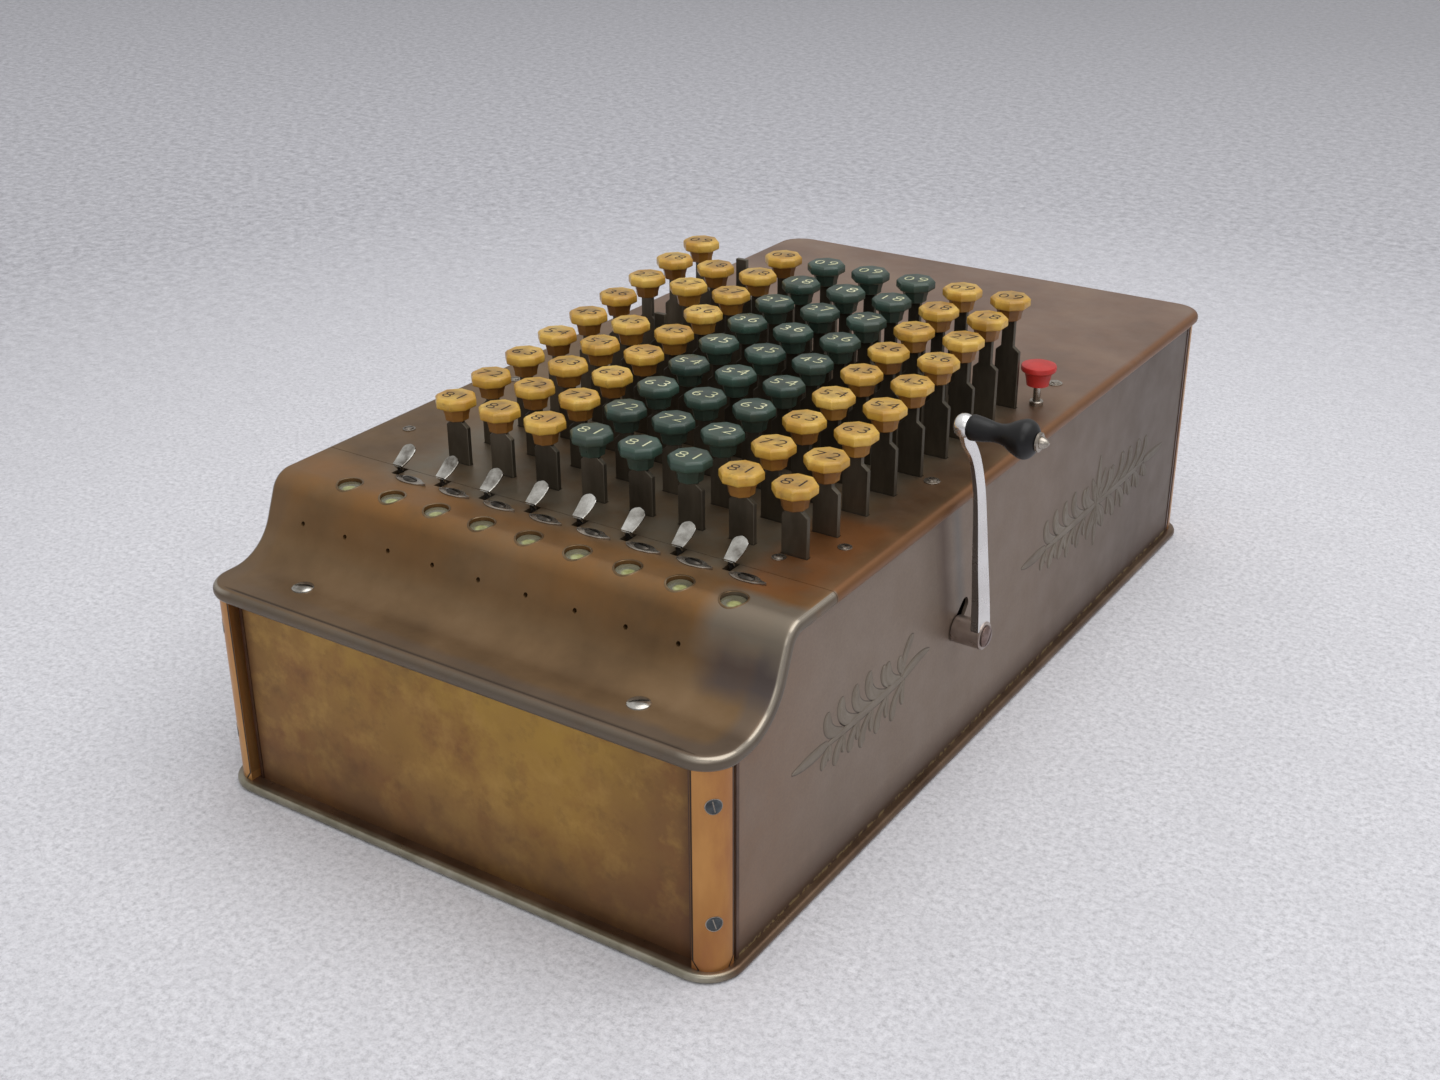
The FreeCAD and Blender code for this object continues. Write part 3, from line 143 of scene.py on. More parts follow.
class Nodes(Tree):
    """A metal or plastic surface, built up in coats; places are in millimetres of the CAD frame."""

    def __init__(self, name):
        self.material = bpy.data.materials.new(name)
        self.material.use_nodes = True
        super().__init__(self.material.node_tree)
        self.shader = self.tree.nodes["Principled BSDF"]
        self.coords = self.node("ShaderNodeTexCoord", "Object")
        self.places = {}
        self.colour = None

    def noise(self, scale, detail=4.0, rough=0.55, stretch=None):
        source = self.coords
        if stretch:
            source = self.node("ShaderNodeMapping", "Vector", {"Vector": source, "Scale": stretch})
        inputs = {"Vector": source, "Scale": scale, "Detail": detail, "Roughness": rough}
        return self.node("ShaderNodeTexNoise", "Fac", inputs)

    def tones(self, source, colours):
        """Three colours over the middle of a noise."""
        output = self.node("ShaderNodeValToRGB", "Color", {"Fac": source})
        elements = output.node.color_ramp.elements
        elements.new(0.5)
        for element, place, colour in zip(elements, (0.3, 0.5, 0.7), colours.split()):
            element.position = place
            element.color = (*linear(colour), 1)
        return output

    def ground(self, colours, scale, detail=5.0, rough=0.6, stretch=None):
        """Start with three colours over a noise."""
        self.colour = self.tones(self.noise(scale, detail, rough, stretch), colours)

    def coat(self, colour, *masks):
        """Lay a colour over the present one where all the masks are set."""
        inputs = {"Factor": self.both(*masks), MIX_UNDER: self.colour, MIX_OVER: colour}
        self.colour = self.node("ShaderNodeMix", MIX_RESULT, inputs, data_type="RGBA")

    def place(self, letter):
        if letter not in self.places:
            metres = self.node("ShaderNodeSeparateXYZ", letter, {0: self.coords})
            self.places[letter] = self.math("MULTIPLY", metres, 1000.0)
        return self.places[letter]

    def size(self, letter):
        return self.math("ABSOLUTE", self.place(letter))

    def cell(self, letter, first, pitch):
        """Distance along an axis from the nearest of equally spaced places."""
        return self.math("WRAP", self.math("SUBTRACT", self.place(letter), first), pitch / 2, -pitch / 2)

    def reach(self, first, second):
        """Length of two distances at right angles."""
        squares = [self.math("MULTIPLY", distance, distance) for distance in (first, second)]
        return self.math("SQRT", self.math("ADD", *squares))

    def near(self, inner, outer):
        """1 round the origin, 0 beyond the outer distance."""
        metres = self.node("ShaderNodeVectorMath", "Value", {0: self.coords}, operation="LENGTH")
        return self.span(metres, inner * 0.001, outer * 0.001, 1.0, 0.0)

    def above(self, source, level, soft):
        return self.span(source, level - soft, level + soft)

    def below(self, source, level, soft):
        return self.span(source, level - soft, level + soft, 1.0, 0.0)

    def band(self, source, low, high, soft):
        return self.both(self.above(source, low, soft), self.below(source, high, soft))

    def patches(self, scale, low, high, most=1.0, stretch=None):
        return self.span(self.noise(scale, 5.0, 0.65, stretch), low, high, 0.0, most)

    def from_rim(self, half, end, corner):
        """Distance inward from a plan outline with rounded corners."""
        past = [self.math("MAXIMUM", self.math("SUBTRACT", self.size(letter), size - corner), 0.0)
                for letter, size in (("X", half), ("Y", end))]
        return self.math("SUBTRACT", corner, self.reach(*past))

    def polish(self, scale, low, high, detail=5.0):
        """Uneven roughness."""
        return self.span(self.noise(scale, detail), 0.3, 0.7, low, high)

    def bump(self, source, strength, distance=0.0002):
        inputs = {"Strength": strength, "Distance": distance, "Height": source}
        self.feed(self.shader, {"Normal": self.node("ShaderNodeBump", "Normal", inputs)})

    def finish(self, metallic, roughness, **others):
        surface = {"Base Color": self.colour, "Metallic": metallic, "Roughness": roughness, **others}
        self.feed(self.shader, surface)
        return self.material

    def metal(self, metallic, rough, scale, bump):
        """Finish with uneven polish and a fine grain."""
        self.bump(self.noise(scale * 6, 3.0), bump)
        return self.finish(metallic, self.polish(scale, rough - 0.05, rough + 0.08))


def plain_metal(n, colours, scale, metallic, rough, bump=0.04):
    n.ground(colours, scale)
    return n.metal(metallic, rough, scale * 3, bump)


def celluloid(n, colours, rough, specular, dirt=None, stain=None):
    """Aged plastic or lacquer, stained here and there; dirt gathers in the middle of each key's top."""
    n.ground(colours, 70, 4.0, 0.55)
    if stain:
        n.coat(stain, n.patches(130, 0.42, 0.64, 0.55))
    if dirt:
        from_middle = n.reach(n.cell("X", column_x(1), PITCH), n.cell("Y", row_y(1), ROW_PITCH))
        n.coat(dirt, n.below(from_middle, 4.6, 1.6), n.patches(190, 0.3, 0.65, 0.75))
        n.coat(dirt, n.patches(240, 0.58, 0.72, 0.5))
    n.bump(n.noise(500, 2.0), 0.05, 0.0001)
    return n.finish(0.0, n.polish(120, rough - 0.08, rough + 0.1, 4.0), **{"Specular IOR Level": specular})


def cover_bronze(n):
    """Brown in front, purple-grey behind, orange on the shoulder, steel where hands wore it."""
    x, y, z = n.place("X"), n.place("Y"), n.place("Z")
    rim = n.from_rim(COVER_HALF, COVER_END, CORNER)
    wave = n.math("MULTIPLY", n.math("SUBTRACT", n.noise(35, 3.0), 0.5), 9.0)
    wavy_x, wavy_y, wavy_rim = (n.math("ADD", place, wave) for place in (x, y, rim))
    front, behind = n.below(y, SEAM, 1), n.above(y, SEAM, 1)
    cloud = n.noise(22, 6.0, 0.6)
    n.colour = n.tones(cloud, "604a31 745b3e 836a4d")
    n.coat(n.tones(cloud, "765f50 876e5e 947c6a"), n.above(y, 40, 40))
    # Orange shoulder, then the grey of the handled area among the keys
    n.coat("8c6234", n.band(y, -156, -131, 5), n.patches(30, 0.25, 0.6, 0.85))
    n.coat("766e5f", n.band(x, -70, 94, 7), n.band(y, -134, 40, 4), n.patches(55, 0.28, 0.6, 0.8))
    # Dark strip right of the keys, orange at the seam's right end
    n.coat("624028", n.band(x, 84, 99, 4), n.band(y, -84, 50, 12), 0.5)
    n.coat("8e5a2e", n.band(x, 74, 98, 5), n.band(y, -138, -78, 4), n.patches(40, 0.15, 0.5, 0.85))
    # Grey front edge and the shoulder's bare right corner with its dark border
    n.coat("60564e", n.below(wavy_rim, 8.5, 1.6), front, n.below(y, -146, 8),
           n.span(x, -80, 40, 0.3, 1.0), 0.6)
    n.coat("4e484a", n.above(wavy_x, 78, 5), n.band(wavy_y, -162, -154, 2), 0.7)
    n.coat("7c7264", n.above(wavy_x, 74, 4), n.band(wavy_y, -155, -139, 2), 0.9)
    # Copper along the right and rear rim
    right_rim = n.math("MAXIMUM", n.above(x, 85, 4), n.above(y, 176, 4))
    n.coat("805634", n.below(rim, 2.4, 0.9), behind, right_rim, n.patches(30, 0.15, 0.45, 0.85))
    # Rubbed rim and bright bead in front, painted shade in the groove along the lip, bright line round the
    # rear rim
    lip_end = n.both(n.below(y, -170, 3), n.below(n.size("X"), COVER_HALF - CORNER, 3))
    n.coat("6c6256", n.below(rim, 1.4, 0.4), front, n.patches(120, 0.1, 0.5, 0.8))
    bead = n.both(n.band(rim, 0.4, 1.5, 0.25), n.math("SUBTRACT", 1.0, lip_end), front)
    n.coat("9e9486", bead)
    n.coat("3e3228", n.band(rim, 2.5, 3.5, 0.35), lip_end)
    n.coat("a89274", n.below(rim, 0.6, 0.4), n.below(z, 99.9, 0.4), behind)
    n.bump(n.noise(540, 3.0), 0.05)
    return n.finish(0.7, n.math("SUBTRACT", n.polish(90, 0.36, 0.48), n.math("MULTIPLY", bead, 0.2)))


def panel_bronze(n):
    """Satin purple-brown sheet, warm at its front end, with painted shade and a brassy line down at the base.
    """
    y, z = n.place("Y"), n.place("Z")
    n.ground("796758 867566 908071", 8, 5.0, 0.5)
    n.coat("62564c", n.above(y, 78, 50), 0.9)
    n.coat("8c6a4e", n.below(y, -148, 26), n.patches(20, 0.2, 0.6, 0.8))
    # Painted reflection and shadow of the crank's arm: a dark and a bright streak beside it
    arm_reflection_and_shadow = n.both(n.above(z, 57, 6), n.patches(30, 0.1, 0.5, 0.7), n.above(n.place("X"), 0, 1))
    slant = n.math("ADD", y, n.math("MULTIPLY", z, 0.2))
    n.coat("624c3e", arm_reflection_and_shadow, n.band(slant, -36, -30, 3))
    n.coat("706e6a", arm_reflection_and_shadow, n.band(slant, -25, -20, 2))
    n.coat("706058", n.span(n.noise(1100, 3.0, 0.7), 0.3, 0.7, 0.0, 0.35))
    # Painted shade low on the panel, by the base
    n.coat("4c3628", n.below(z, 10, 6), 0.8)
    n.coat("a8966e", n.below(z, 4.3, 0.3), n.patches(420, 0.47, 0.56, 0.8))
    return n.metal(0.65, 0.42, 70, 0.06)


def arm_nickel(n):
    """Bright nickel, with painted shade and dark reflection on the arm's narrow front and back."""
    n.ground("dedbd9 ebe9e8 f3f2f1", 40)
    facing = n.node("ShaderNodeSeparateXYZ", "Y", {0: n.node("ShaderNodeTexCoord", "Normal")})
    narrow = n.above(n.math("ABSOLUTE", facing), 0.8, 0.1)
    # Painted shade and dark reflection on the faces that look forward and back, below the eye
    n.coat("605a56", narrow, n.below(n.place("Z"), 129, 6), 0.85)
    return n.metal(0.95, 0.26, 120, 0.006)


def ornament_bronze(n):
    """The sheet's bronze a little paler; it darkens to the back as the side panels do."""
    n.ground("74685b 817668 8c8274", 50)
    n.coat("685f54", n.above(n.place("Y"), 78, 50), 0.8)
    return n.metal(0.6, 0.44, 150, 0.04)


def front_brass(n):
    """Golden sheet with red-brown stains, darker at its foot, with painted shade at its edges."""
    x, z = n.place("X"), n.place("Z")
    n.ground("805d36 96703e a88246", 17, 6.0, 0.6)
    slant = n.math("ADD", z, n.math("MULTIPLY", x, 0.12))
    n.coat("ae8a3e", n.above(slant, 46, 22), n.above(x, -75, 30), n.patches(26, 0.25, 0.6, 0.85))
    n.coat("aa843a", n.band(x, 28, 52, 8), n.patches(18, 0.3, 0.6, 0.6, (1, 1, 0.3)))
    n.coat("745038", n.above(x, 66, 12), 0.6)
    n.coat("7e5032", n.patches(34, 0.48, 0.66, 0.7))
    n.coat("b8924e", n.patches(75, 0.5, 0.68, 0.5))
    n.coat("684a30", n.patches(110, 0.52, 0.7, 0.4))
    n.coat("6c4e36", n.below(z, 20, 14), n.patches(28, 0.2, 0.55, 0.8))
    # Painted shade at the ends beside the posts
    n.coat("563a2a", n.above(n.size("X"), 87.5, 2.5), 0.75)
    return n.metal(0.7, 0.4, 60, 0.05)


def post_copper(n):
    """Golden copper, with the flats beside the panels painted dark as shade in the gaps."""
    n.ground("a06a3a c69054 deaa68", 26, 5.0, 0.55, (1, 1, 0.3))
    n.coat("9e6448", n.patches(60, 0.46, 0.66, 0.55, (1, 1, 0.35)))
    foot = n.span(n.place("Z"), 3.6, 6.2, 1.9, 0.0)
    flats = []
    for letter, half in (("X", BASE_HALF_X), ("Y", BASE_HALF_Y)):
        start = half - POST_FACE - POST_SIZE
        flats.append(n.band(n.math("SUBTRACT", n.size(letter), foot), start + 0.05, start + 0.7, 0.1))
    # Painted shade on the flats that face the gaps beside the panels
    n.coat("362a20", n.math("MAXIMUM", *flats))
    return n.metal(0.75, 0.33, 80, 0.03)


def base_bronze(n):
    """Dark bronze with bare plating and a painted highlight along the front edge and at the front corners."""
    n.ground("564232 6a5442 7c6652", 40)
    plating_and_highlight = n.tones(n.noise(60, 5.0, 0.6), "76705f 948e7d aea89a")
    front = n.math("MAXIMUM", n.below(n.place("Y"), -184, 4), n.below(n.place("X"), -101, 1))
    # Lighter at the edge: bare plating together with a painted highlight
    n.coat(plating_and_highlight, front, n.below(n.from_rim(BASE_HALF_X, BASE_HALF_Y, BASE_CORNER), 2.6, 0.7))
    return n.metal(0.8, 0.3, 90, 0.05)


def stem_steel(n):
    """Brown-grey sheet steel with upright streaks."""
    n.ground("443e34 5a5347 726a5d", 60, 5.0, 0.65, (1, 1, 0.25))
    return n.metal(0.8, 0.36, 160, 0.06)


def window_glass_clear(n):
    """Old lens glass, clouded grey, with a painted pool of light where the pale wheel is lit, low in its
    middle.
    """
    spot_right, spot_front = 1.2, 1.7
    gap = n.cell("X", window_x(1) + spot_right, PITCH)
    lag = n.math("SUBTRACT", n.place("Y"), SHOULDER - spot_front)
    n.ground("605c4a 726e5a 807c66", 90, 4.0, 0.55)
    # Painted light: the lit patch of the wheel behind, laid into the glass's own colour
    wheel = n.tones(n.noise(500, 3.0), "8a8854 aeb074 c8cc92")
    n.coat(wheel, n.below(n.reach(gap, lag), 2.05, 0.45))
    return n.finish(0.0, n.polish(300, 0.05, 0.16, 4.0), **{"Alpha": 0.72, "Specular IOR Level": 0.6})


def pale_felt(n):
    """The floor: near grain, farther away a calmer grain painted darker as shade, and painted shade at the
    back.
    """
    n.ground("a4a3a7 d4d3d7 eeedf1", 420, 6.0, 0.85)
    n.coat("c4c3c7", n.patches(45, 0.35, 0.7, 0.3))
    # Painted shade: farther away the grain is darker
    far_shade = n.tones(n.noise(150, 6.0, 0.85), "8e8d91 b8b7bc d6d5d9")
    n.coat(far_shade, n.math("SUBTRACT", 1.0, n.near(300, 700)))
    # Painted shade at the back
    n.coat("969598", n.above(n.place("Y"), 1000, 500), 0.5)
    n.bump(n.noise(800, 4.0, 0.7), 0.35, 0.0006)
    return n.finish(0.0, 0.95)


# Three colours, noise scale, metallic, roughness, bump
METALS = {
    "hub_steel": ("867870 a2948c baaea6", 60, 0.85, 0.3, 0.02),
    "tab_nickel": ("68625a b0ada6 d6d4ce", 150, 0.95, 0.2, 0.02),
    "dark_nickel": ("70675e 968d82 b6afa5", 160, 0.9, 0.24, 0.03),
    "dark_steel": ("2c2824 423d37 5c564e", 260, 0.9, 0.28),
    "blued_screw": ("3e4042 54585a 707474", 220, 0.9, 0.3, 0.05),
    "hub_screw_steel": ("5c4a44 7a6660 96847e", 160, 0.85, 0.3),
    "window_rim_bronze": ("5c4832 745e44 8a765c", 120, 0.85, 0.3),
    "inside_steel": ("28241f 3e3932 524c44", 40, 0.7, 0.5),
    # Dark borders round the side ornaments' leaves: painted shade about the relief
    "ornament_groove_shade": ("584d43 655a4f 706459", 70, 0.6, 0.5),
    # Darker bronze of the panels' beads: painted shade beside the posts
    "bead_bronze_shade": ("463228 563f32 664d3e", 60, 0.7, 0.36),
}
# Three colours, roughness, specular level, dirt, stain
PLASTICS = {
    "celluloid_yellow": ("a0762a c89e3e e0bc5e", 0.34, 0.5, "6a522a", "b27a24"),
    # Necks of the yellow keys: the caps' celluloid painted darker as shade under the heads
    "celluloid_neck_shade": ("6a441a 8a5c24 aa7a30", 0.42, 0.4),
    "celluloid_green": ("22362e 2e443a 3a5246", 0.34, 0.5, "262c24", "3e463a"),
    "celluloid_red": ("9c221c bc2e28 ce3e36", 0.4, 0.4),
    "black_wood": ("0a090a 121112 1e1c1d", 0.4, 0.35),
    "wheel_enamel": ("aaae6e ced28c e2e6a8", 0.4, 0.4),
    "digit_dark": ("241912 30221a 3e2d22", 0.5, 0.2),
    "digit_pale": ("a8aa84 c4c49e d6d4b2", 0.5, 0.2),
}
OWN_MAKERS = (cover_bronze, panel_bronze, arm_nickel, ornament_bronze, front_brass, post_copper, base_bronze,
              stem_steel, window_glass_clear, pale_felt)

MATERIAL = {name: plain_metal(Nodes(name), *values) for name, values in METALS.items()}
MATERIAL |= {name: celluloid(Nodes(name), *values) for name, values in PLASTICS.items()}
MATERIAL |= {maker.__name__: maker(Nodes(maker.__name__)) for maker in OWN_MAKERS}


# Meshes

# In metres: corners this close become one, and edges this short go
MERGE, SHORT = 1e-7, 1e-6
FLAT_ANGLE, SHARP_ANGLE = math.radians(1), math.radians(20)


@contextmanager
def editing(mesh):
    """Change a mesh through bmesh."""
    edit = bmesh.new()
    edit.from_mesh(mesh)
    yield edit
    edit.to_mesh(mesh)
    edit.free()


def evaluated(item):
    """A new mesh of an object with its modifiers or its text's outline worked out."""
    bpy.context.view_layer.update()
    graph = bpy.context.evaluated_depsgraph_get()
    return bpy.data.meshes.new_from_object(item.evaluated_get(graph))


def read_mesh(mesh, scale=1):
    return [tuple(v.co * scale) for v in mesh.vertices], [tuple(p.vertices) for p in mesh.polygons]


def add_to_scene(item):
    bpy.context.scene.collection.objects.link(item)
    return item


def dress(item, material, body, slot=None, sharp=32.0, replace=()):
    """Shade one piece, hang it on its body and hide the CAD parts it replaces."""
    mesh = item.data
    mesh.materials.clear()
    mesh.materials.append(MATERIAL[material])
    mesh.shade_smooth()
    mesh.set_sharp_from_angle(angle=math.radians(sharp))
    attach(item, body)
    if replace:
        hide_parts(*replace)
    return item


class Shape:
    """Collects corners in millimetres and faces of several forms into one mesh."""

    def __init__(self):
        self.verts, self.faces = [], []

    def add(self, verts, faces):
        start = len(self.verts)
        self.verts += [tuple(v) for v in verts]
        self.faces += [[start + i for i in face] for face in faces]
        return self

    def box(self, *spans):
        """Box between two places along each axis, in any order."""
        xs, ys, zs = (sorted(span) for span in spans)
        faces = [(0, 2, 3, 1), (4, 5, 7, 6), (0, 1, 5, 4), (1, 3, 7, 5), (3, 2, 6, 7), (2, 0, 4, 6)]
        return self.add([(x, y, z) for z in zs for y in ys for x in xs], faces)

    def rings(self, sections, closed=False):
        """Skin over equal sections; a run that isn't closed on itself gets end faces."""
        count, rounds = len(sections[0]), len(sections)
        faces = []
        for r in range(rounds if closed else rounds - 1):
            for k in range(count):
                a, b = r * count + k, r * count + (k + 1) % count
                c, d = (r + 1) % rounds * count + (k + 1) % count, (r + 1) % rounds * count + k
                faces.append((a, b, c, d))
        if not closed:
            faces.append(tuple(range(count))[::-1])
            faces.append(tuple((rounds - 1) * count + k for k in range(count)))
        return self.add([p for section in sections for p in section], faces)

    def turned(self, profile, origin, axis, sides=40, hollow=False):
        """Revolve (along, radius) pairs round an axis; a hollow profile closes on itself."""
        axis = Vector(axis).normalized()
        across = axis.orthogonal().normalized()
        other = axis.cross(across)
        around = [across * math.cos(math.tau * k / sides) + other * math.sin(math.tau * k / sides)
                  for k in range(sides)]
        if hollow:
            return self.rings([[Vector(origin) + axis * along + out * radius for along, radius in profile]
                               for out in around], closed=True)
        return self.rings([[Vector(origin) + axis * along + out * radius for out in around]
                           for along, radius in profile])

    def put(self, pattern, origin, axis, turn=0.0):
        """Place a pattern made along +Z."""
        rotation = Vector(axis).to_track_quat("Z", "Y") @ Quaternion(UP, turn)
        verts, faces = pattern
        return self.add([rotation @ Vector(v) + Vector(origin) for v in verts], faces)

    def item(self, name):
        """A linked object with outward faces."""
        mesh = bpy.data.meshes.new(name)
        mesh.from_pydata([tuple(c * 0.001 for c in v) for v in self.verts], [], self.faces)
        with editing(mesh) as edit:
            bmesh.ops.remove_doubles(edit, verts=edit.verts, dist=MERGE)
            bmesh.ops.recalc_face_normals(edit, faces=edit.faces)
        return add_to_scene(bpy.data.objects.new(name, mesh))

    def piece(self, name, material, body, **more):
        return dress(self.item(name), material, body, **more)


def carve(target, *shapes):
    """Subtract each shape from the target and keep the result as its mesh."""
    for shape in shapes:
        tool = shape.item("cutter")
        modifier = target.modifiers.new("carve", "BOOLEAN")
        modifier.operation = "DIFFERENCE"
        modifier.solver = "EXACT"
        modifier.object = tool
        mesh = evaluated(target)
        with editing(mesh) as edit:
            bmesh.ops.dissolve_degenerate(edit, edges=edit.edges, dist=SHORT)
            bmesh.ops.holes_fill(edit, edges=edit.edges, sides=6)
        target.modifiers.clear()
        target.data = mesh
        bpy.data.objects.remove(tool)
    return target


def smooth(points, steps):
    """Catmull-Rom points between the ones given."""
    result = []
    for index in range(len(points) - 1):
        four = [points[min(max(index + k, 0), len(points) - 1)] for k in (-1, 0, 1, 2)]
        for t in (step / steps for step in range(steps)):
            result.append(tuple(0.5 * (2 * b + (c - a) * t + (2 * a - 5 * b + 4 * c - d) * t * t
                                       + (3 * b - a - 3 * c + d) * t ** 3) for a, b, c, d in zip(*four)))
    result.append(points[-1])
    return result


def swept(shape, x, path, edge=None, upright=False):
    """A bar along (y, z, width, thickness) places, square to its path, with its width across X or upright."""
    sections = []
    for index, (y, z, width, thick) in enumerate(path):
        before, after = path[max(0, index - 1)], path[min(len(path) - 1, index + 1)]
        size = math.hypot(after[0] - before[0], after[1] - before[1])
        ny, nz = (before[1] - after[1]) / size, (after[0] - before[0]) / size
        half, deep = width / 2, thick / 2
        cut = edge or min(half, deep) * 0.45
        ring = ((deep, half - cut), (deep - cut, half), (cut - deep, half), (-deep, half - cut),
                (-deep, cut - half), (cut - deep, -half), (deep - cut, -half), (deep, cut - half))
        if not upright:
            ring = [(v, u) for u, v in ring]
        sections.append([(x + u, y + ny * v, z + nz * v) for u, v in ring])
    return shape.rings(sections)


def bevelled(node, material, body, width, **more):
    """A CAD piece's mesh with its sharp edges broken."""
    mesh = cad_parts[node].data.copy()
    with editing(mesh) as edit:
        bmesh.ops.remove_doubles(edit, verts=edit.verts, dist=MERGE)
        bmesh.ops.dissolve_limit(edit, angle_limit=FLAT_ANGLE, verts=edit.verts, edges=edit.edges)
        sharp = [e for e in edit.edges if len(e.link_faces) == 2 and e.calc_face_angle() > SHARP_ANGLE]
        bmesh.ops.bevel(edit, geom=sharp, offset=width * 0.001, segments=1, affect="EDGES",
                        clamp_overlap=True)
    item = add_to_scene(bpy.data.objects.new(f"{node}_visual", mesh))
    return dress(item, material, body, replace=(node,), **more)


# Covers

ARC_STEPS, CORNER_STEPS, ROUND_STEPS = 14, 16, 7
HOLLOW_FRONT, HOLLOW_BACK, HOLLOW_FLOOR = -183.8, -120.0, 50.0


def quarter(distance, radius):
    """How far a rounded edge falls at a distance inside the outline."""
    if distance >= radius:
        return 0.0
    return radius - math.sqrt(max(0.0, radius * radius - (radius - distance) ** 2))


def ogee_line():
    """Outer profile from the end of the lip's flat to the shoulder: (y, z, normal y, normal z)."""
    angles = [SLOPE * k / ARC_STEPS for k in range(ARC_STEPS + 1)]
    low = (LOW_START, LIP_Z + LOW_R, LOW_R, angles)
    high = (SHOULDER, TOP_Z - HIGH_R, -HIGH_R, angles[::-1])
    return [(y + radius * math.sin(angle), z - radius * math.cos(angle), -math.sin(angle), math.cos(angle))
            for y, z, radius, run in (low, high) for angle in run]


def surface_z(y):
    """Height of the register cover's outer face at a place from front to back."""
    for first, second in zip(ogee_line(), ogee_line()[1:]):
        if first[0] <= y <= second[0]:
            share = (y - first[0]) / (second[0] - first[0])
            return first[1] + share * (second[1] - first[1])
    return LIP_Z if y < LOW_START else TOP_Z


def level_rows(places, z):
    return [(y, z, 0.0, 1.0) for y in places]


def end_rows(end, z, inward, extra=()):
    """Level rows from a rounded end inward."""
    reaches = [CORNER * (1 - math.cos(math.pi / 2 * k / CORNER_STEPS)) for k in range(CORNER_STEPS)]
    return level_rows([end + inward * reach for reach in sorted([*reaches, *extra])], z)


def cover_skin(rows, end):
    """A thick sheet over the rows: two plan corners at one end, rounded edges all round but at the seam."""
    offsets = [RIM_ROUND * (1 - math.cos(math.pi / 2 * k / ROUND_STEPS)) for k in range(ROUND_STEPS + 1)]
    offsets += [4.0, RIM_WIDTH, 9.0, 16.0, 30.0, 55.0, 80.0]
    inner = COVER_HALF - CORNER
    verts, faces = [], []
    columns = len(offsets) * 2 + 1
    for top in (True, False):
        for y, z, ny, nz in rows:
            reach = abs(y - end)
            half = COVER_HALF
            if reach < CORNER:
                half = inner + math.sqrt(CORNER ** 2 - (CORNER - reach) ** 2)
            line = [half - o for o in offsets]
            for x in [-v for v in line] + [0.0] + line[::-1]:
                distance = min(COVER_HALF - abs(x), reach)
                if abs(x) > inner and reach < CORNER:
                    distance = CORNER - math.hypot(abs(x) - inner, CORNER - reach)
                depth = quarter(max(0.0, distance), RIM_ROUND)
                if not top:
                    depth = RIM - depth
                elif z == LIP_Z and math.isclose(reach, GROOVE, abs_tol=0.01) and abs(x) < inner:
                    depth += GROOVE_DEPTH
                verts.append((x, y - ny * depth, z - nz * depth))
    count = len(rows)
    below = count * columns
    for r in range(count - 1):
        for c in range(columns - 1):
            a = r * columns + c
            b = below + a
            faces += [(a, a + 1, a + 1 + columns, a + columns), (b, b + columns, b + 1 + columns, b + 1)]
        for a in (r * columns, (r + 1) * columns - 1):
            faces.append((a, a + columns, below + a + columns, below + a))
    for r in (0, count - 1):
        for a in range(r * columns, (r + 1) * columns - 1):
            faces.append((a, a + 1, below + a + 1, below + a))
    return Shape().add(verts, faces)


def make_register_cover():
    seat_right, seat_back, seat_floor = 6.5, 5.0, 95.0
    pointer_left, pointer_y, pointer_z, pointer_r = 12.0, -166.0, 90.5, 0.8
    notch_half, notch_front, notch_back, notch_top = 1.5, 5.6, 2.0, 110.0
    groove = (GROOVE - GROOVE_HALF, GROOVE, GROOVE + GROOVE_HALF)
    rows = end_rows(-COVER_END, LIP_Z, 1, groove) + ogee_line()
    rows += level_rows((-142.0, -139.0, -134.0, -129.0, SEAM - SEAT), TOP_Z)
    cover = cover_skin(rows, -COVER_END).item("register_cover_shell")
    inner = [(HOLLOW_FRONT, HOLLOW_FLOOR), (HOLLOW_FRONT, LIP_Z - SKIN)]
    inner += [(y - ny * SKIN, z - nz * SKIN) for y, z, ny, nz in ogee_line()]
    inner += [(HOLLOW_BACK, TOP_Z - SKIN), (HOLLOW_BACK, HOLLOW_FLOOR)]
    side = COVER_HALF - RIM_WIDTH
    hollow = Shape().rings([[(x, y, z) for y, z in inner] for x in (-side, side)])
    seat = Shape().box((WINDOW_PLACES[0] - seat_right, WINDOW_PLACES[-1] + seat_right),
                       (SHOULDER - seat_back, SHOULDER + seat_back), (seat_floor, TOP_Z - SKIN))
    holes, notches = Shape(), Shape()
    for x in WINDOW_PLACES:
        holes.turned([(0, WINDOW_R), (20, WINDOW_R)], (x, SHOULDER, 90.0), UP, 48)
        holes.turned([(0, pointer_r), (16, pointer_r)], (x - pointer_left, pointer_y, pointer_z), BACK, 16)
    for x in LEVER_PLACES:
        notches.box((x - notch_half, x + notch_half), (SEAM - notch_front, SEAM + notch_back),
                    (seat_floor, notch_top))
    carve(cover, hollow, seat, holes, notches)
    dress(cover, "cover_bronze", "case", slot="bronze_cover", replace=("register_cover",))


def make_window_rims():
    """A thin round ring on the cover's curve about each window."""
    sides, ring_sides = 48, 8
    ring_r, wire_x, wire_z = WINDOW_R + 0.3, 0.34, 0.16
    rims = Shape()
    for x in WINDOW_PLACES:
        sections = []
        for k in range(sides):
            angle = math.tau * k / sides
            section = []
            for j in range(ring_sides):
                turn = math.tau * j / ring_sides
                radius = ring_r + wire_x * math.cos(turn)
                y = SHOULDER + radius * math.sin(angle)
                section.append((x + radius * math.cos(angle), y, surface_z(y) + wire_z * math.sin(turn)))
            sections.append(section)
        rims.rings(sections, closed=True)
    rims.piece("window_rims", "window_rim_bronze", "case", slot="nickelled_steel")


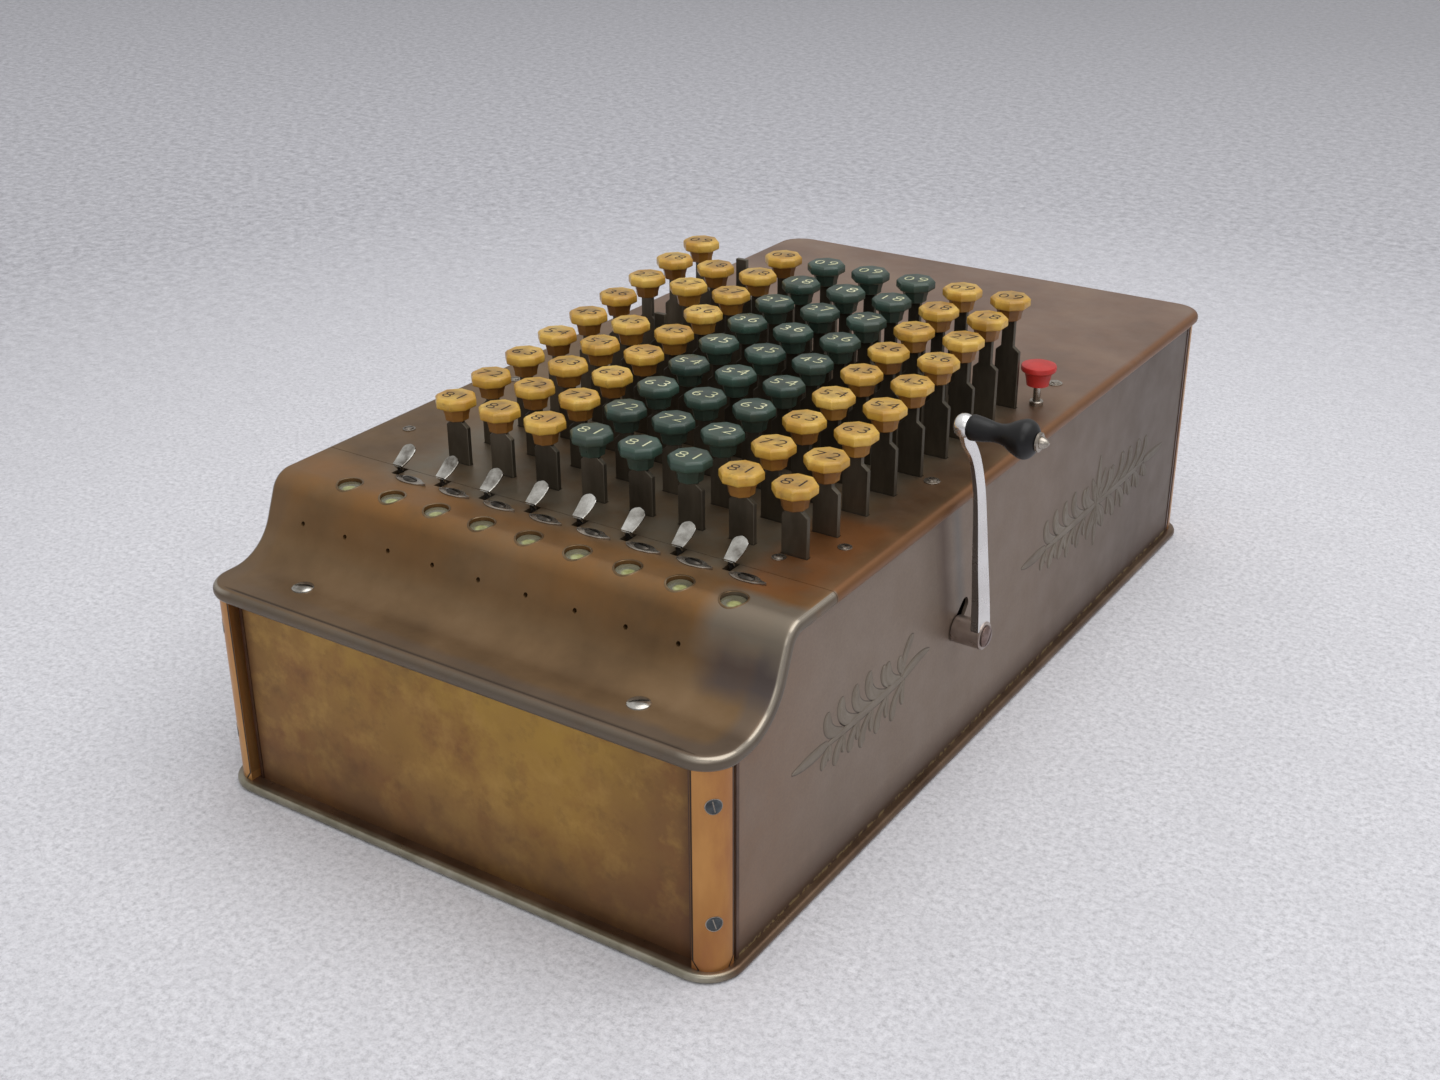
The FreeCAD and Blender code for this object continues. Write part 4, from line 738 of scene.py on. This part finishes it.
def make_window_glass():
    """A round glass in each window, with its foot in the seat under the cover."""
    glass = Shape()
    profile = [(100.0, 4.9), (100.9, 4.9), (100.9, 4.0), (102.75, 4.0), (102.9, 3.8), (103.0, 2.4)]
    for x in WINDOW_PLACES:
        glass.turned(profile, (x, SHOULDER, 0), UP, 48)
    glass.piece("window_glass_visual", "window_glass_clear", "case", slot="clear_glass",
                replace=("window_glass",))


def make_keyboard_cover():
    slot_left, slot_right, slot_half, slot_floor, slot_top = 4.45, 5.25, 1.15, 98.0, 108.0
    hollow_front, hollow_floor = -140.0, 90.0
    rows = end_rows(COVER_END, TOP_Z, -1) + level_rows((176.0, 120.0, 60.0, 0.0, -60.0, SEAM + SEAT), TOP_Z)
    cover = cover_skin(rows, COVER_END).item("keyboard_cover_shell")
    side = COVER_HALF - RIM_WIDTH
    hollow = Shape().box((-side, side), (hollow_front, COVER_END - RIM_WIDTH), (hollow_floor, TOP_Z - SKIN))
    slots = Shape()
    for column, row in product(range(1, COLUMNS + 1), range(1, ROWS + 1)):
        x, y = column_x(column), row_y(row)
        slots.box((x - slot_left, x + slot_right), (y - slot_half, y + slot_half), (slot_floor, slot_top))
    bore = Shape().turned([(95, 1.5), (115, 1.5)], RELEASE, UP, 24)
    carve(cover, hollow, slots, bore)
    dress(cover, "cover_bronze", "case", slot="bronze_cover", replace=("keyboard_cover",))
    bush = [(-0.2, 1.5), (-0.2, 2.6), (1.4, 2.6), (1.75, 2.3), (1.8, 2.0), (1.8, 1.5)]
    bush = [(TOP_Z + along, radius) for along, radius in bush]
    Shape().turned(bush, RELEASE, UP, 32, hollow=True).piece(
        "release_bush", "dark_nickel", "case", slot="nickelled_steel")


def make_base():
    """Flanged base with rounded edges."""
    corner_steps, edge_steps = 12, 6
    outline = []
    for cx, cy, start in ((1, 1, 0), (-1, 1, 90), (-1, -1, 180), (1, -1, 270)):
        for k in range(corner_steps + 1):
            angle = math.radians(start + 90 * k / corner_steps)
            outline.append((cx * (BASE_HALF_X - BASE_CORNER), cy * (BASE_HALF_Y - BASE_CORNER),
                            math.cos(angle), math.sin(angle)))
    quarters = [math.pi / 2 * k / edge_steps for k in range(edge_steps + 1)]
    levels = [(BASE_ROUND * (1 - math.cos(a)), BASE_ROUND * (1 - math.sin(a))) for a in quarters]
    levels += [(BASE_TOP - z, inset) for z, inset in levels[::-1]]
    sections = [[(x + (BASE_CORNER - inset) * c, y + (BASE_CORNER - inset) * s, z) for x, y, c, s in outline]
                for z, inset in levels]
    Shape().rings(sections).piece("base_flange", "base_bronze", "case", slot="nickelled_steel",
                                  replace=("base_plate",))


# Keys

CAP_HEAD = [(6.25, 0.0), (6.42, -0.06), (7.1, -0.78), (7.2, -0.95), (7.2, -3.1), (7.08, -3.35), (6.6, -3.7),
            (4.8, -3.8)]
CAP_NECK = [(4.95, -3.7), (4.9, -4.6), (4.35, -6.6), (4.2, -8.1), (3.95, -8.38)]
CAP_SINK, STEM_BEVEL = 0.06, 0.16
# Place from the cap's middle and top, height and share of width: the value, then what it lacks to nine
CAP_DIGITS = ((2.7, 0.1, -0.045, 5.0, 1.15), (-2.3, -0.9, -0.035, 4.4, 1.25))
GLYPHS = {}


def octagon(radius, z, x, y):
    angles = [math.radians(22.5 + 45 * k) for k in range(8)]
    return [(x + radius * math.cos(angle), y + radius * math.sin(angle), z) for angle in angles]


def glyph(digit):
    """Thin solid of a digit with thin strokes, centred, one unit high."""
    if digit not in GLYPHS:
        curve = bpy.data.curves.new(f"glyph_{digit}", "FONT")
        curve.body = str(digit)
        curve.offset = -0.016
        curve.extrude = 0.012
        curve.resolution_u = 3
        item = add_to_scene(bpy.data.objects.new(f"glyph_{digit}", curve))
        mesh = evaluated(item)
        bpy.data.objects.remove(item)
        verts, faces = read_mesh(mesh)
        (left, right), (low, high) = ((min(run), max(run)) for run in list(zip(*verts))[:2])
        across, up, size = (left + right) / 2, (low + high) / 2, high - low
        GLYPHS[digit] = [((u - across) / size, (v - up) / size, w / size) for u, v, w in verts], faces
    return GLYPHS[digit]


def stamp(shape, digit, height, place, up=BACK, wide=1.0):
    """Add a digit that reads along +X, with its top towards the upward direction."""
    verts, faces = glyph(digit)
    across, up, place = Vector(ACROSS), Vector(up), Vector(place)
    out = across.cross(up)
    shape.add([place + across * (u * height * wide) + up * (v * height) + out * (w * height)
               for u, v, w in verts], faces)


def make_keys():
    """Caps, necks, digits and stems of each column."""
    for column in range(1, COLUMNS + 1):
        green = column in GREEN_COLUMNS
        caps, necks, digits = Shape(), Shape(), Shape()
        for row in range(1, ROWS + 1):
            if (column, row) in MISSING:
                continue
            x, y, top = column_x(column), row_y(row), key_top(row) - CAP_SINK
            caps.rings([octagon(radius, top + z, x, y) for radius, z in CAP_HEAD])
            necks.rings([octagon(radius, top + z, x, y) for radius, z in CAP_NECK])
            for value, (dx, dy, dz, height, wide) in zip((row, ROWS - row), CAP_DIGITS):
                stamp(digits, value, height, (x + dx, y + dy, top + dz), wide=wide)
        body = f"keys_{column}"
        slot = "green_cap" if green else "yellow_cap"
        caps.piece(f"key_caps_visual_{column}", "celluloid_green" if green else "celluloid_yellow", body,
                   slot=slot, sharp=30.0, replace=(f"key_caps_{column}",))
        necks.piece(f"key_necks_{column}", "celluloid_green" if green else "celluloid_neck_shade", body, slot=slot,
                    sharp=30.0)
        digits.piece(f"key_digits_{column}", "digit_pale" if green else "digit_dark", body)
        bevelled(f"key_stems_{column}", "stem_steel", body, STEM_BEVEL, slot="steel")


# Screws and small parts on the covers

def slotted(profile, width, depth):
    """A turned screw head along +Z with a slot across its top."""
    top = max(along for along, _ in profile)
    reach = max(radius for _, radius in profile) + 1
    head = Shape().turned(profile, (0, 0, 0), UP, 32).item("head")
    carve(head, Shape().box((-reach, reach), (-width / 2, width / 2), (top - depth, top + 1)))
    verts, faces = read_mesh(head.data, 1000)
    bpy.data.objects.remove(head)
    return verts, faces


def wrapped(pattern, side, end, level, turn):
    """A screw head's points laid round a post's rounded corner, at its middle."""
    centre = (side * (BASE_HALF_X - POST_FACE - POST_ROUND), end * (BASE_HALF_Y - POST_FACE - POST_ROUND))
    points = []
    for across, up, out in pattern[0]:
        u = across * math.cos(turn) - up * math.sin(turn)
        v = across * math.sin(turn) + up * math.cos(turn)
        angle = math.pi / 4 + u / POST_ROUND
        radius = POST_ROUND + out
        points.append((centre[0] + side * radius * math.cos(angle),
                       centre[1] + end * radius * math.sin(angle), level + v))
    return points, pattern[1]


def make_cover_screws():
    """Two oval heads on the lip, small ones on top; two at the right stand in washers."""
    oval = slotted([(-0.6, 3.5), (0.0, 3.8), (0.35, 3.7), (0.75, 3.1), (1.0, 2.1), (1.1, 1.0)], 0.95, 0.8)
    small = slotted([(0.0, 2.3), (0.2, 2.35), (0.3, 2.1), (0.25, 1.7), (0.6, 1.55), (0.75, 1.0)], 0.55, 0.4)
    washer, sunk = [(0, 2.8), (0.3, 2.8), (0.4, 2.6)], 0.35
    heads, dark = Shape(), Shape()
    for x, turn in ((-70.5, 0.45), (64.5, 0.7)):
        heads.put(oval, (x, -172.9, LIP_Z), UP, turn)
    left, right = -89.3, 89.0
    for x, y, turn in ((right + 0.6, -98.1, 0.3), (76.2, -115.1, 0.5), (left, -98.1, 0.9), (left, -38.6, 0.7),
                       (left, 69.0, 1.5)):
        dark.put(small, (x, y, TOP_Z), UP, turn)
    for x, y, turn in ((right, -38.6, 1.0), (86.0, 69.0, 2.0)):
        dark.turned(washer, (x, y, TOP_Z), UP, 32)
        dark.put(small, (x, y, TOP_Z + sunk), UP, turn)
    heads.piece("case_screw_heads", "tab_nickel", "case", slot="nickelled_steel")
    dark.piece("cover_screw_heads", "dark_nickel", "case", slot="nickelled_steel")


def make_post_screws():
    """Flush blued heads on the posts' round corners, each in a bright ring and with a worn slot."""
    flush = slotted([(-1.2, 2.4), (0.1, 2.4), (0.2, 2.2)], 0.75, 0.15)
    worn_slot = Shape().box((-1.9, 1.9), (-0.17, 0.17), (-0.1, 0.13))
    rim = [(-0.2, 2.38), (0.1, 2.38), (0.15, 2.5), (0.1, 2.68), (-0.2, 2.72)]
    ring = Shape().turned(rim, (0, 0, 0), UP, 32, hollow=True)
    heads, rings = Shape(), Shape()
    for side, end, level in product(SIDES, SIDES, (20.5, 61.0)):
        turn = 1.25 + 0.002 * level
        heads.add(*wrapped(flush, side, end, level, turn))
        rings.add(*wrapped((worn_slot.verts, worn_slot.faces), side, end, level, turn))
        rings.add(*wrapped((ring.verts, ring.faces), side, end, level, 0.0))
    heads.piece("post_screw_heads", "blued_screw", "case", slot="nickelled_steel")
    rings.piece("post_screw_rims", "dark_nickel", "case", slot="nickelled_steel")


def make_leaf_plates():
    """Pointed leaves under a dark oval screw head, one beside each cut-off lever."""
    length, half_width, steps = 13.6, 2.5, 24
    profile = ((-1.0, 0.02), (-1.0, 0.35), (-0.8, 0.5), (0.0, 0.42), (0.8, 0.5), (1.0, 0.35), (1.0, 0.02))
    verts, faces = slotted([(0.0, 1.0), (0.25, 1.0), (0.6, 0.75), (0.8, 0.4)], 0.22, 0.35)
    screw = [(x * 3.0, y * 1.75, z) for x, y, z in verts], faces
    leaves, heads = Shape(), Shape()
    for x in LEVER_PLACES:
        x0, y0 = x + 2.0, SEAM - 6.8
        sections = []
        for k in range(steps + 1):
            t = k / steps
            half = half_width * max(0.07, math.sin(math.pi * t ** 0.85)) ** 0.75
            half *= 1.0 if t < 0.72 else 1.0 - 0.5 * (t - 0.72) / 0.28
            lift = 0.5 * max(0.0, t - 0.8) / 0.2
            y = y0 - 0.9 * max(0.0, t - 0.6) / 0.4
            sections.append([(x0 + length * t, y + half * u, TOP_Z + (v + lift if v > 0.1 else v))
                             for u, v in profile])
        leaves.rings(sections)
        heads.put(screw, (x0 + length * 0.45, y0, TOP_Z + 0.4), UP, -0.12)
    leaves.piece("leaf_plates_visual", "dark_nickel", "case", slot="copper_trim", replace=("leaf_plates",))
    heads.piece("leaf_plate_screws", "dark_steel", "case")


def make_cutoff_levers():
    """Eye on its rod, shank bent forward, and a spoon-shaped finger tab that leans back from its top."""
    lean, reach, widest, tip, steps = math.radians(34), 9.2, 0.75, 0.252, 16
    narrow, wider, thick, thinner, dip = 4.3, 1.4, 0.85, 0.2, 0.5
    eye_y, eye_z = SEAM - LEVER_FRONT, TOP_Z - LEVER_DEPTH
    tab_y, tab_z = eye_y - 1.8, TOP_Z + 2.5
    eye = [(-1.5, 1.56), (-1.5, 2.9), (1.5, 2.9), (1.5, 1.56)]
    shank = [(eye_y, eye_z + 2.0, 2.4, 0.9), (eye_y, eye_z + 6.0, 2.4, 0.9),
             (eye_y - 0.2, TOP_Z + 0.2, 2.4, 0.9), (eye_y - 1.1, TOP_Z + 1.5, 2.6, 0.9),
             (tab_y, tab_z, 3.4, 0.9)]
    blade = []
    for k in range(steps + 1):
        share = k / steps
        width = narrow + wider * math.sin(math.pi / 2 * min(1.0, share / widest))
        if share > widest:
            width *= math.sqrt(max(0.03, 1 - ((share - widest) / tip) ** 2))
        sag = dip * math.sin(math.pi * share)
        along = reach * share
        blade.append((tab_y - 0.3 + along * math.cos(lean) + sag * math.sin(lean),
                      tab_z + along * math.sin(lean) - sag * math.cos(lean), width, thick - thinner * share))
    for window, x in enumerate(LEVER_PLACES, 1):
        shape = Shape().turned(eye, (x, eye_y, eye_z), ACROSS, 32, hollow=True)
        swept(shape, x, shank)
        swept(shape, x + 0.3, blade)
        shape.piece(f"cutoff_lever_visual_{window}", "tab_nickel", f"cutoff_lever_{window}",
                    slot="nickelled_steel", replace=(f"cutoff_lever_{window}",))


def make_wheel_digits():
    """Ten digits on the flats of each number wheel."""
    axis_y, axis_z, radius, proud, height = SHOULDER + 1.6, 90.6, 8.8, 0.03, 4.6
    flat = radius * math.cos(math.pi / DIGITS) + proud
    for window, x in enumerate(WINDOW_PLACES, 1):
        digits = Shape()
        for step in range(DIGITS):
            angle = math.tau * step / DIGITS
            up = Vector((0, math.cos(angle), -math.sin(angle)))
            out = Vector((0, math.sin(angle), math.cos(angle)))
            stamp(digits, step, height, Vector((x, axis_y, axis_z)) + out * flat, up)
        digits.piece(f"wheel_digits_{window}", "digit_dark", f"number_wheel_{window}")


# Crank and release key

HUB = [(HUB_START, 4.5), (100.7, 4.8), (101.6, 4.9), (110.3, 4.9), (110.45, 5.0), (111.2, 5.0),
       (111.45, 4.75)]
ARM_X, ARM_EDGE = 109.3, 0.3
ARM_LINE = [(-37.2, 53.5, 8.8, 3.4), (-38.6, 66.0, 8.0, 3.1), (-41.0, 81.0, 7.3, 2.7),
            (-44.6, 104.6, 5.7, 2.2), (-48.1, 116.5, 5.0, 2.0), (-52.0, 124.0, 4.6, 1.9),
            (-57.4, 130.2, 4.6, 2.0), (EYE_Y, EYE_Z, 5.0, 2.6)]
EYE_BALL = [(106.6, 1.6), (106.8, 2.4), (107.3, 3.1), (108.1, 3.65), (109.2, 3.9), (110.3, 3.85),
            (111.3, 3.5), (111.6, 3.1), (111.65, 2.6)]
KNOB_PIN = [(111.0, 1.5), (134.2, 1.5)]
PIN_WASHER = [(134.1, 2.6), (134.3, 3.1), (135.0, 3.1), (135.3, 2.7)]
PIN_END = [(135.2, 2.0), (136.0, 1.9), (137.0, 1.3), (137.8, 0.5)]
KNOB = [(111.75, 3.5), (112.0, 4.05), (113.2, 4.15), (116.4, 3.75), (120.6, 3.08), (123.6, 3.6), (126.4, 5.1),
        (129.0, 6.15), (130.6, 6.28), (132.2, 5.6), (133.4, 4.2), (134.05, 3.0)]
SHAFT, COLLAR = [(88.0, 3.0), (111.4, 3.0)], [(91.9, 5.0), (94.8, 5.0)]
HUB_SCREW = [(0.0, 3.85), (0.35, 3.85), (0.9, 3.3), (1.3, 2.4), (1.5, 1.2)]
RELEASE_CAP = [(111.7, 3.8), (111.85, 4.1), (113.6, 4.35), (115.6, 4.8), (116.6, 5.1), (116.9, 5.6),
               (117.3, 6.2), (117.7, 6.48), (119.0, 6.5), (119.4, 6.3), (119.6, 5.8), (119.62, 3.0)]
RELEASE_STEM, RELEASE_COLLAR = [(94.6, 1.1), (94.65, 1.4), (115.6, 1.4)], [(98.05, 2.3), (99.15, 2.3)]


def make_crank():
    axis, eye = (0, CRANK_Y, CRANK_Z), (0, EYE_Y, EYE_Z)
    hub = Shape().turned(HUB, axis, ACROSS, 48)
    hub.piece("crank_hub", "hub_steel", "crank", slot="nickelled_steel")
    pin = Shape().turned(PIN_WASHER, eye, ACROSS, 40).turned(PIN_END, eye, ACROSS, 32)
    pin.piece("crank_pin_end", "dark_nickel", "crank", slot="nickelled_steel")
    arm = swept(Shape(), ARM_X, smooth(ARM_LINE, 5), ARM_EDGE, upright=True)
    arm.turned(EYE_BALL, eye, ACROSS).turned(KNOB_PIN, eye, ACROSS, 24)
    arm.piece("crank_arm_visual", "arm_nickel", "crank", slot="nickelled_steel", replace=("crank_arm",))
    knob = Shape().turned(smooth(KNOB, 4), eye, ACROSS, 48)
    knob.piece("crank_knob_visual", "black_wood", "knob", slot="black_wood", replace=("crank_knob",))
    shaft = Shape().turned(SHAFT, axis, ACROSS, 32).turned(COLLAR, axis, ACROSS, 32)
    shaft.put(slotted(HUB_SCREW, 0.7, 0.6), (HUB_END + 0.1, CRANK_Y, CRANK_Z), ACROSS, 0.9)
    shaft.piece("crank_shaft_visual", "hub_screw_steel", "crank", slot="nickelled_steel",
                replace=("crank_shaft",))


def make_release_key():
    cap = Shape().turned(RELEASE_CAP, RELEASE, UP, 48)
    cap.piece("release_cap_visual", "celluloid_red", "release_key", slot="red_cap",
              replace=("release_key_cap",))
    stem = Shape().turned(RELEASE_STEM, RELEASE, UP, 24).turned(RELEASE_COLLAR, RELEASE, UP, 24)
    stem.piece("release_stem_visual", "dark_nickel", "release_key", slot="nickelled_steel",
               replace=("release_key_stem",))


# Side ornaments, with their leaves as (distance from the spray's start, length)

UPPER_LEAVES = ((1.0, 15), (11.5, 19), (20.5, 18), (29.5, 18), (39.0, 16))
LOWER_LEAVES = ((-2.0, 15), (9.0, 14), (19.0, 14), (28.0, 11), (37.0, 11), (46.0, 8))
LEAF_STEPS, SHADE_BORDER = 24, 0.32
SHADE_BORDER_PROFILE = ((-1.0, 0.0), (-0.98, 0.04), (0.98, 0.04), (1.0, 0.0))


class Ornament:
    """Leaves in low relief on one side panel, each on a thin dark border of painted shade, like a groove."""

    def __init__(self, side):
        self.side = side
        self.relief, self.groove = Shape(), Shape()

    def section(self, place, angle, half, profile):
        """Points across a leaf at a place on its middle line."""
        ny, nz = -math.sin(angle), math.cos(angle)
        return [(self.side * (PANEL_X + lift), place[0] + ny * half * u, place[1] + nz * half * u)
                for u, lift in profile]

    def leaf(self, root, heading, turn, length, width, pointed=False):
        """One leaf from a root, curling by its turn; both angles in degrees in the panel's plane."""
        y, z = root
        angle = math.radians(heading)
        rows, borders = [], []
        for k in range(LEAF_STEPS + 1):
            t = k / LEAF_STEPS
            if pointed:
                half = width / 2 * max(0.04, math.sin(math.pi * (0.06 + 0.94 * t) ** 0.8)) ** 0.6
            else:
                half = width / 2 * (0.4 + 0.6 * math.sin(math.pi * 0.7 * t))
                half *= math.sqrt(max(0.01, 1 - max(0.0, (t - 0.82) / 0.18) ** 2))
            crest = 0.1 + 0.25 * half / (width / 2)
            profile = ((-1.0, 0.02), (-0.8, crest), (-0.35, crest * 0.55), (0.35, crest * 0.55), (0.8, crest),
                       (1.0, 0.02))
            rows.append(self.section((y, z), angle, half, profile))
            borders.append(self.section((y, z), angle, half + SHADE_BORDER, SHADE_BORDER_PROFILE))
            y += math.cos(angle) * length / LEAF_STEPS
            z += math.sin(angle) * length / LEAF_STEPS
            angle += math.radians(turn) / LEAF_STEPS * 2.2 * t
        self.relief.rings(rows)
        self.groove.rings(borders)

    def spray(self, start, forward, level):
        """A stem along the panel with leaves curling out above and hanging below, and a pointed tip."""
        def away(angle):
            return angle if forward > 0 else 180 - angle

        for distance, length in LOWER_LEAVES:
            root = (start + forward * distance, level - 1.2)
            self.leaf(root, away(-34), -84 * forward, length, 3.8)
            self.leaf(root, away(-74), -50 * forward, length * 0.6, 2.8)
        for distance, length in UPPER_LEAVES:
            root = (start + forward * distance, level + 0.8)
            self.leaf(root, away(16), 120 * forward, length, 4.6)
            self.leaf((root[0] - forward * 2.5, root[1] + 1.0), away(46), 90 * forward, length * 0.55, 3.2)
        self.leaf((start - forward * 2, level), away(0), 0, 54, 3.4, pointed=True)
        self.leaf((start + forward * 48, level + 0.4), away(-2), 8 * forward, 21, 4.0, pointed=True)


def make_ornaments():
    """A single spray at the front; at the back two sprays from a rosette of pointed leaves."""
    front, middle, back, level = -77.0, 85.0, 89.0, 50.4
    rosette = ((90, 21), (64, 15), (118, 15), (-90, 18), (-62, 13), (-118, 13))
    more = {"body": "case", "slot": "bronze_panel"}
    for side, name in zip(SIDES, ("left", "right")):
        ornament = Ornament(side)
        ornament.spray(front, -1, level)
        ornament.leaf((front, level), 78, -56, 16, 3.4)
        ornament.leaf((front, level), 14, -24, 20, 3.8, pointed=True)
        ornament.spray(middle, -1, level + 0.6)
        ornament.spray(back, 1, level + 0.6)
        for heading, length in rosette:
            ornament.leaf(((middle + back) / 2, level), heading, 0, length, 4.2, pointed=True)
        # The dark borders are painted shade round the leaves
        ornament.groove.piece(f"side_ornament_shade_edge_{name}", "ornament_groove_shade", **more)
        ornament.relief.piece(f"side_ornament_{name}", "ornament_bronze", sharp=60.0, **more)


def make_panel_beads():
    """Narrow folded edges of the panels beside the posts, dark with painted shade."""
    gap, side_width, front_width, proud, sunk = 1.3, 1.5, 1.3, 0.25, 0.2
    beads = Shape()
    for sx, sy in product(SIDES, SIDES):
        height = (BASE_TOP + 0.1, (LIP_Z if sy < 0 else TOP_Z) - RIM - 0.4)
        y = sy * (BASE_HALF_Y - POST_FACE - POST_SIZE - gap)
        beads.box((sx * (PANEL_X - sunk), sx * (PANEL_X + proud)), (y, y - sy * side_width), height)
        x = sx * (BASE_HALF_X - POST_FACE - POST_SIZE - gap)
        beads.box((x, x - sx * front_width), (sy * (PANEL_Y + proud), sy * (PANEL_Y - sunk)), height)
    beads.piece("panel_beads", "bead_bronze_shade", "case", slot="bronze_panel")


# Materials of the pieces that keep their CAD shape, by the start of their names
CAD_MATERIALS = {
    "front_panel": "front_brass", "rear_panel": "panel_bronze", "left_side_panel": "panel_bronze",
    "right_side_panel": "panel_bronze", "corner_posts": "post_copper", "side_frames": "inside_steel",
    "key_guide_plate": "inside_steel", "pivot_rods": "inside_steel", "column_lever": "inside_steel",
    "number_wheel": "wheel_enamel",
}


def dress_cad():
    for name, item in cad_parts.items():
        for start, material in CAD_MATERIALS.items():
            if name.startswith(start):
                for slot in item.material_slots:
                    slot.material = MATERIAL[material]


# Stage, light and camera, in metres

def make_floor():
    reach = 3.0
    mesh = bpy.data.meshes.new("floor")
    mesh.from_pydata([(-reach, -reach, 0), (reach, -reach, 0), (reach, reach, 0), (-reach, reach, 0)], [],
                     [(0, 1, 2, 3)])
    mesh.materials.append(MATERIAL["pale_felt"])
    floor = add_to_scene(bpy.data.objects.new("floor", mesh))


def make_world():
    """A dim even sky for the light; a brighter one, paler upwards, for what sees or reflects it."""
    world = bpy.data.worlds.new("studio")
    bpy.context.scene.world = world
    world.use_nodes = True
    world.node_tree.nodes.clear()
    n = Tree(world.node_tree)
    pale_blue, dim = (0.96, 0.97, 1.0, 1), 0.62
    lit = n.node("ShaderNodeBackground", 0, {"Color": pale_blue, "Strength": dim})
    height = n.node("ShaderNodeSeparateXYZ", "Z", {0: n.node("ShaderNodeTexCoord", "Generated")})
    seen = n.node("ShaderNodeBackground", 0, {"Strength": n.span(height, 0.0, 0.9, 0.5, 1.0)})
    direct = n.node("ShaderNodeLightPath", "Is Camera Ray")
    for kind in ("Is Glossy Ray", "Is Transmission Ray"):
        direct = n.math("MAXIMUM", direct, n.node("ShaderNodeLightPath", kind))
    mix = n.node("ShaderNodeMixShader", 0, {0: direct, 1: lit, 2: seen})
    n.feed(world.node_tree.nodes.new("ShaderNodeOutputWorld"), {"Surface": mix})


def make_lamps():
    target = Vector((0, 0, 0.06))
    lamps = (("overhead", (0.55, 0.15, 1.9), 2.0, 25), ("front", (0.9, -1.7, 1.1), 1.2, 4))
    for name, place, size, power in lamps:
        lamp = bpy.data.lights.new(name, "AREA")
        lamp.size = size
        lamp.energy = power
        item = add_to_scene(bpy.data.objects.new(name, lamp))
        item.location = place
        item.rotation_euler = (target - Vector(place)).to_track_quat("-Z", "Y").to_euler()


def make_camera():
    """The photograph's place and lens."""
    azimuth, elevation, roll = math.radians(33.362), math.radians(25.659), math.radians(-0.222)
    place = (0.328428, -0.530738, 0.343356)
    rotation = (Matrix.Rotation(azimuth, 4, "Z") @ Matrix.Rotation(math.pi / 2 - elevation, 4, "X")
                @ Matrix.Rotation(roll, 4, "Z"))
    data = bpy.data.cameras.new("photo_camera")
    data.sensor_width = 36.0
    data.lens = 44.502
    data.clip_start = 0.01
    camera = add_to_scene(bpy.data.objects.new("photo_camera", data))
    camera.matrix_world = Matrix.Translation(place) @ rotation
    bpy.context.scene.camera = camera


make_base()
make_register_cover()
make_window_rims()
make_window_glass()
make_keyboard_cover()
make_keys()
make_cover_screws()
make_post_screws()
make_leaf_plates()
make_cutoff_levers()
make_wheel_digits()
make_crank()
make_release_key()
make_ornaments()
make_panel_beads()
dress_cad()
make_floor()
make_world()
make_lamps()
make_camera()
bpy.context.scene.view_settings.view_transform = "Standard"
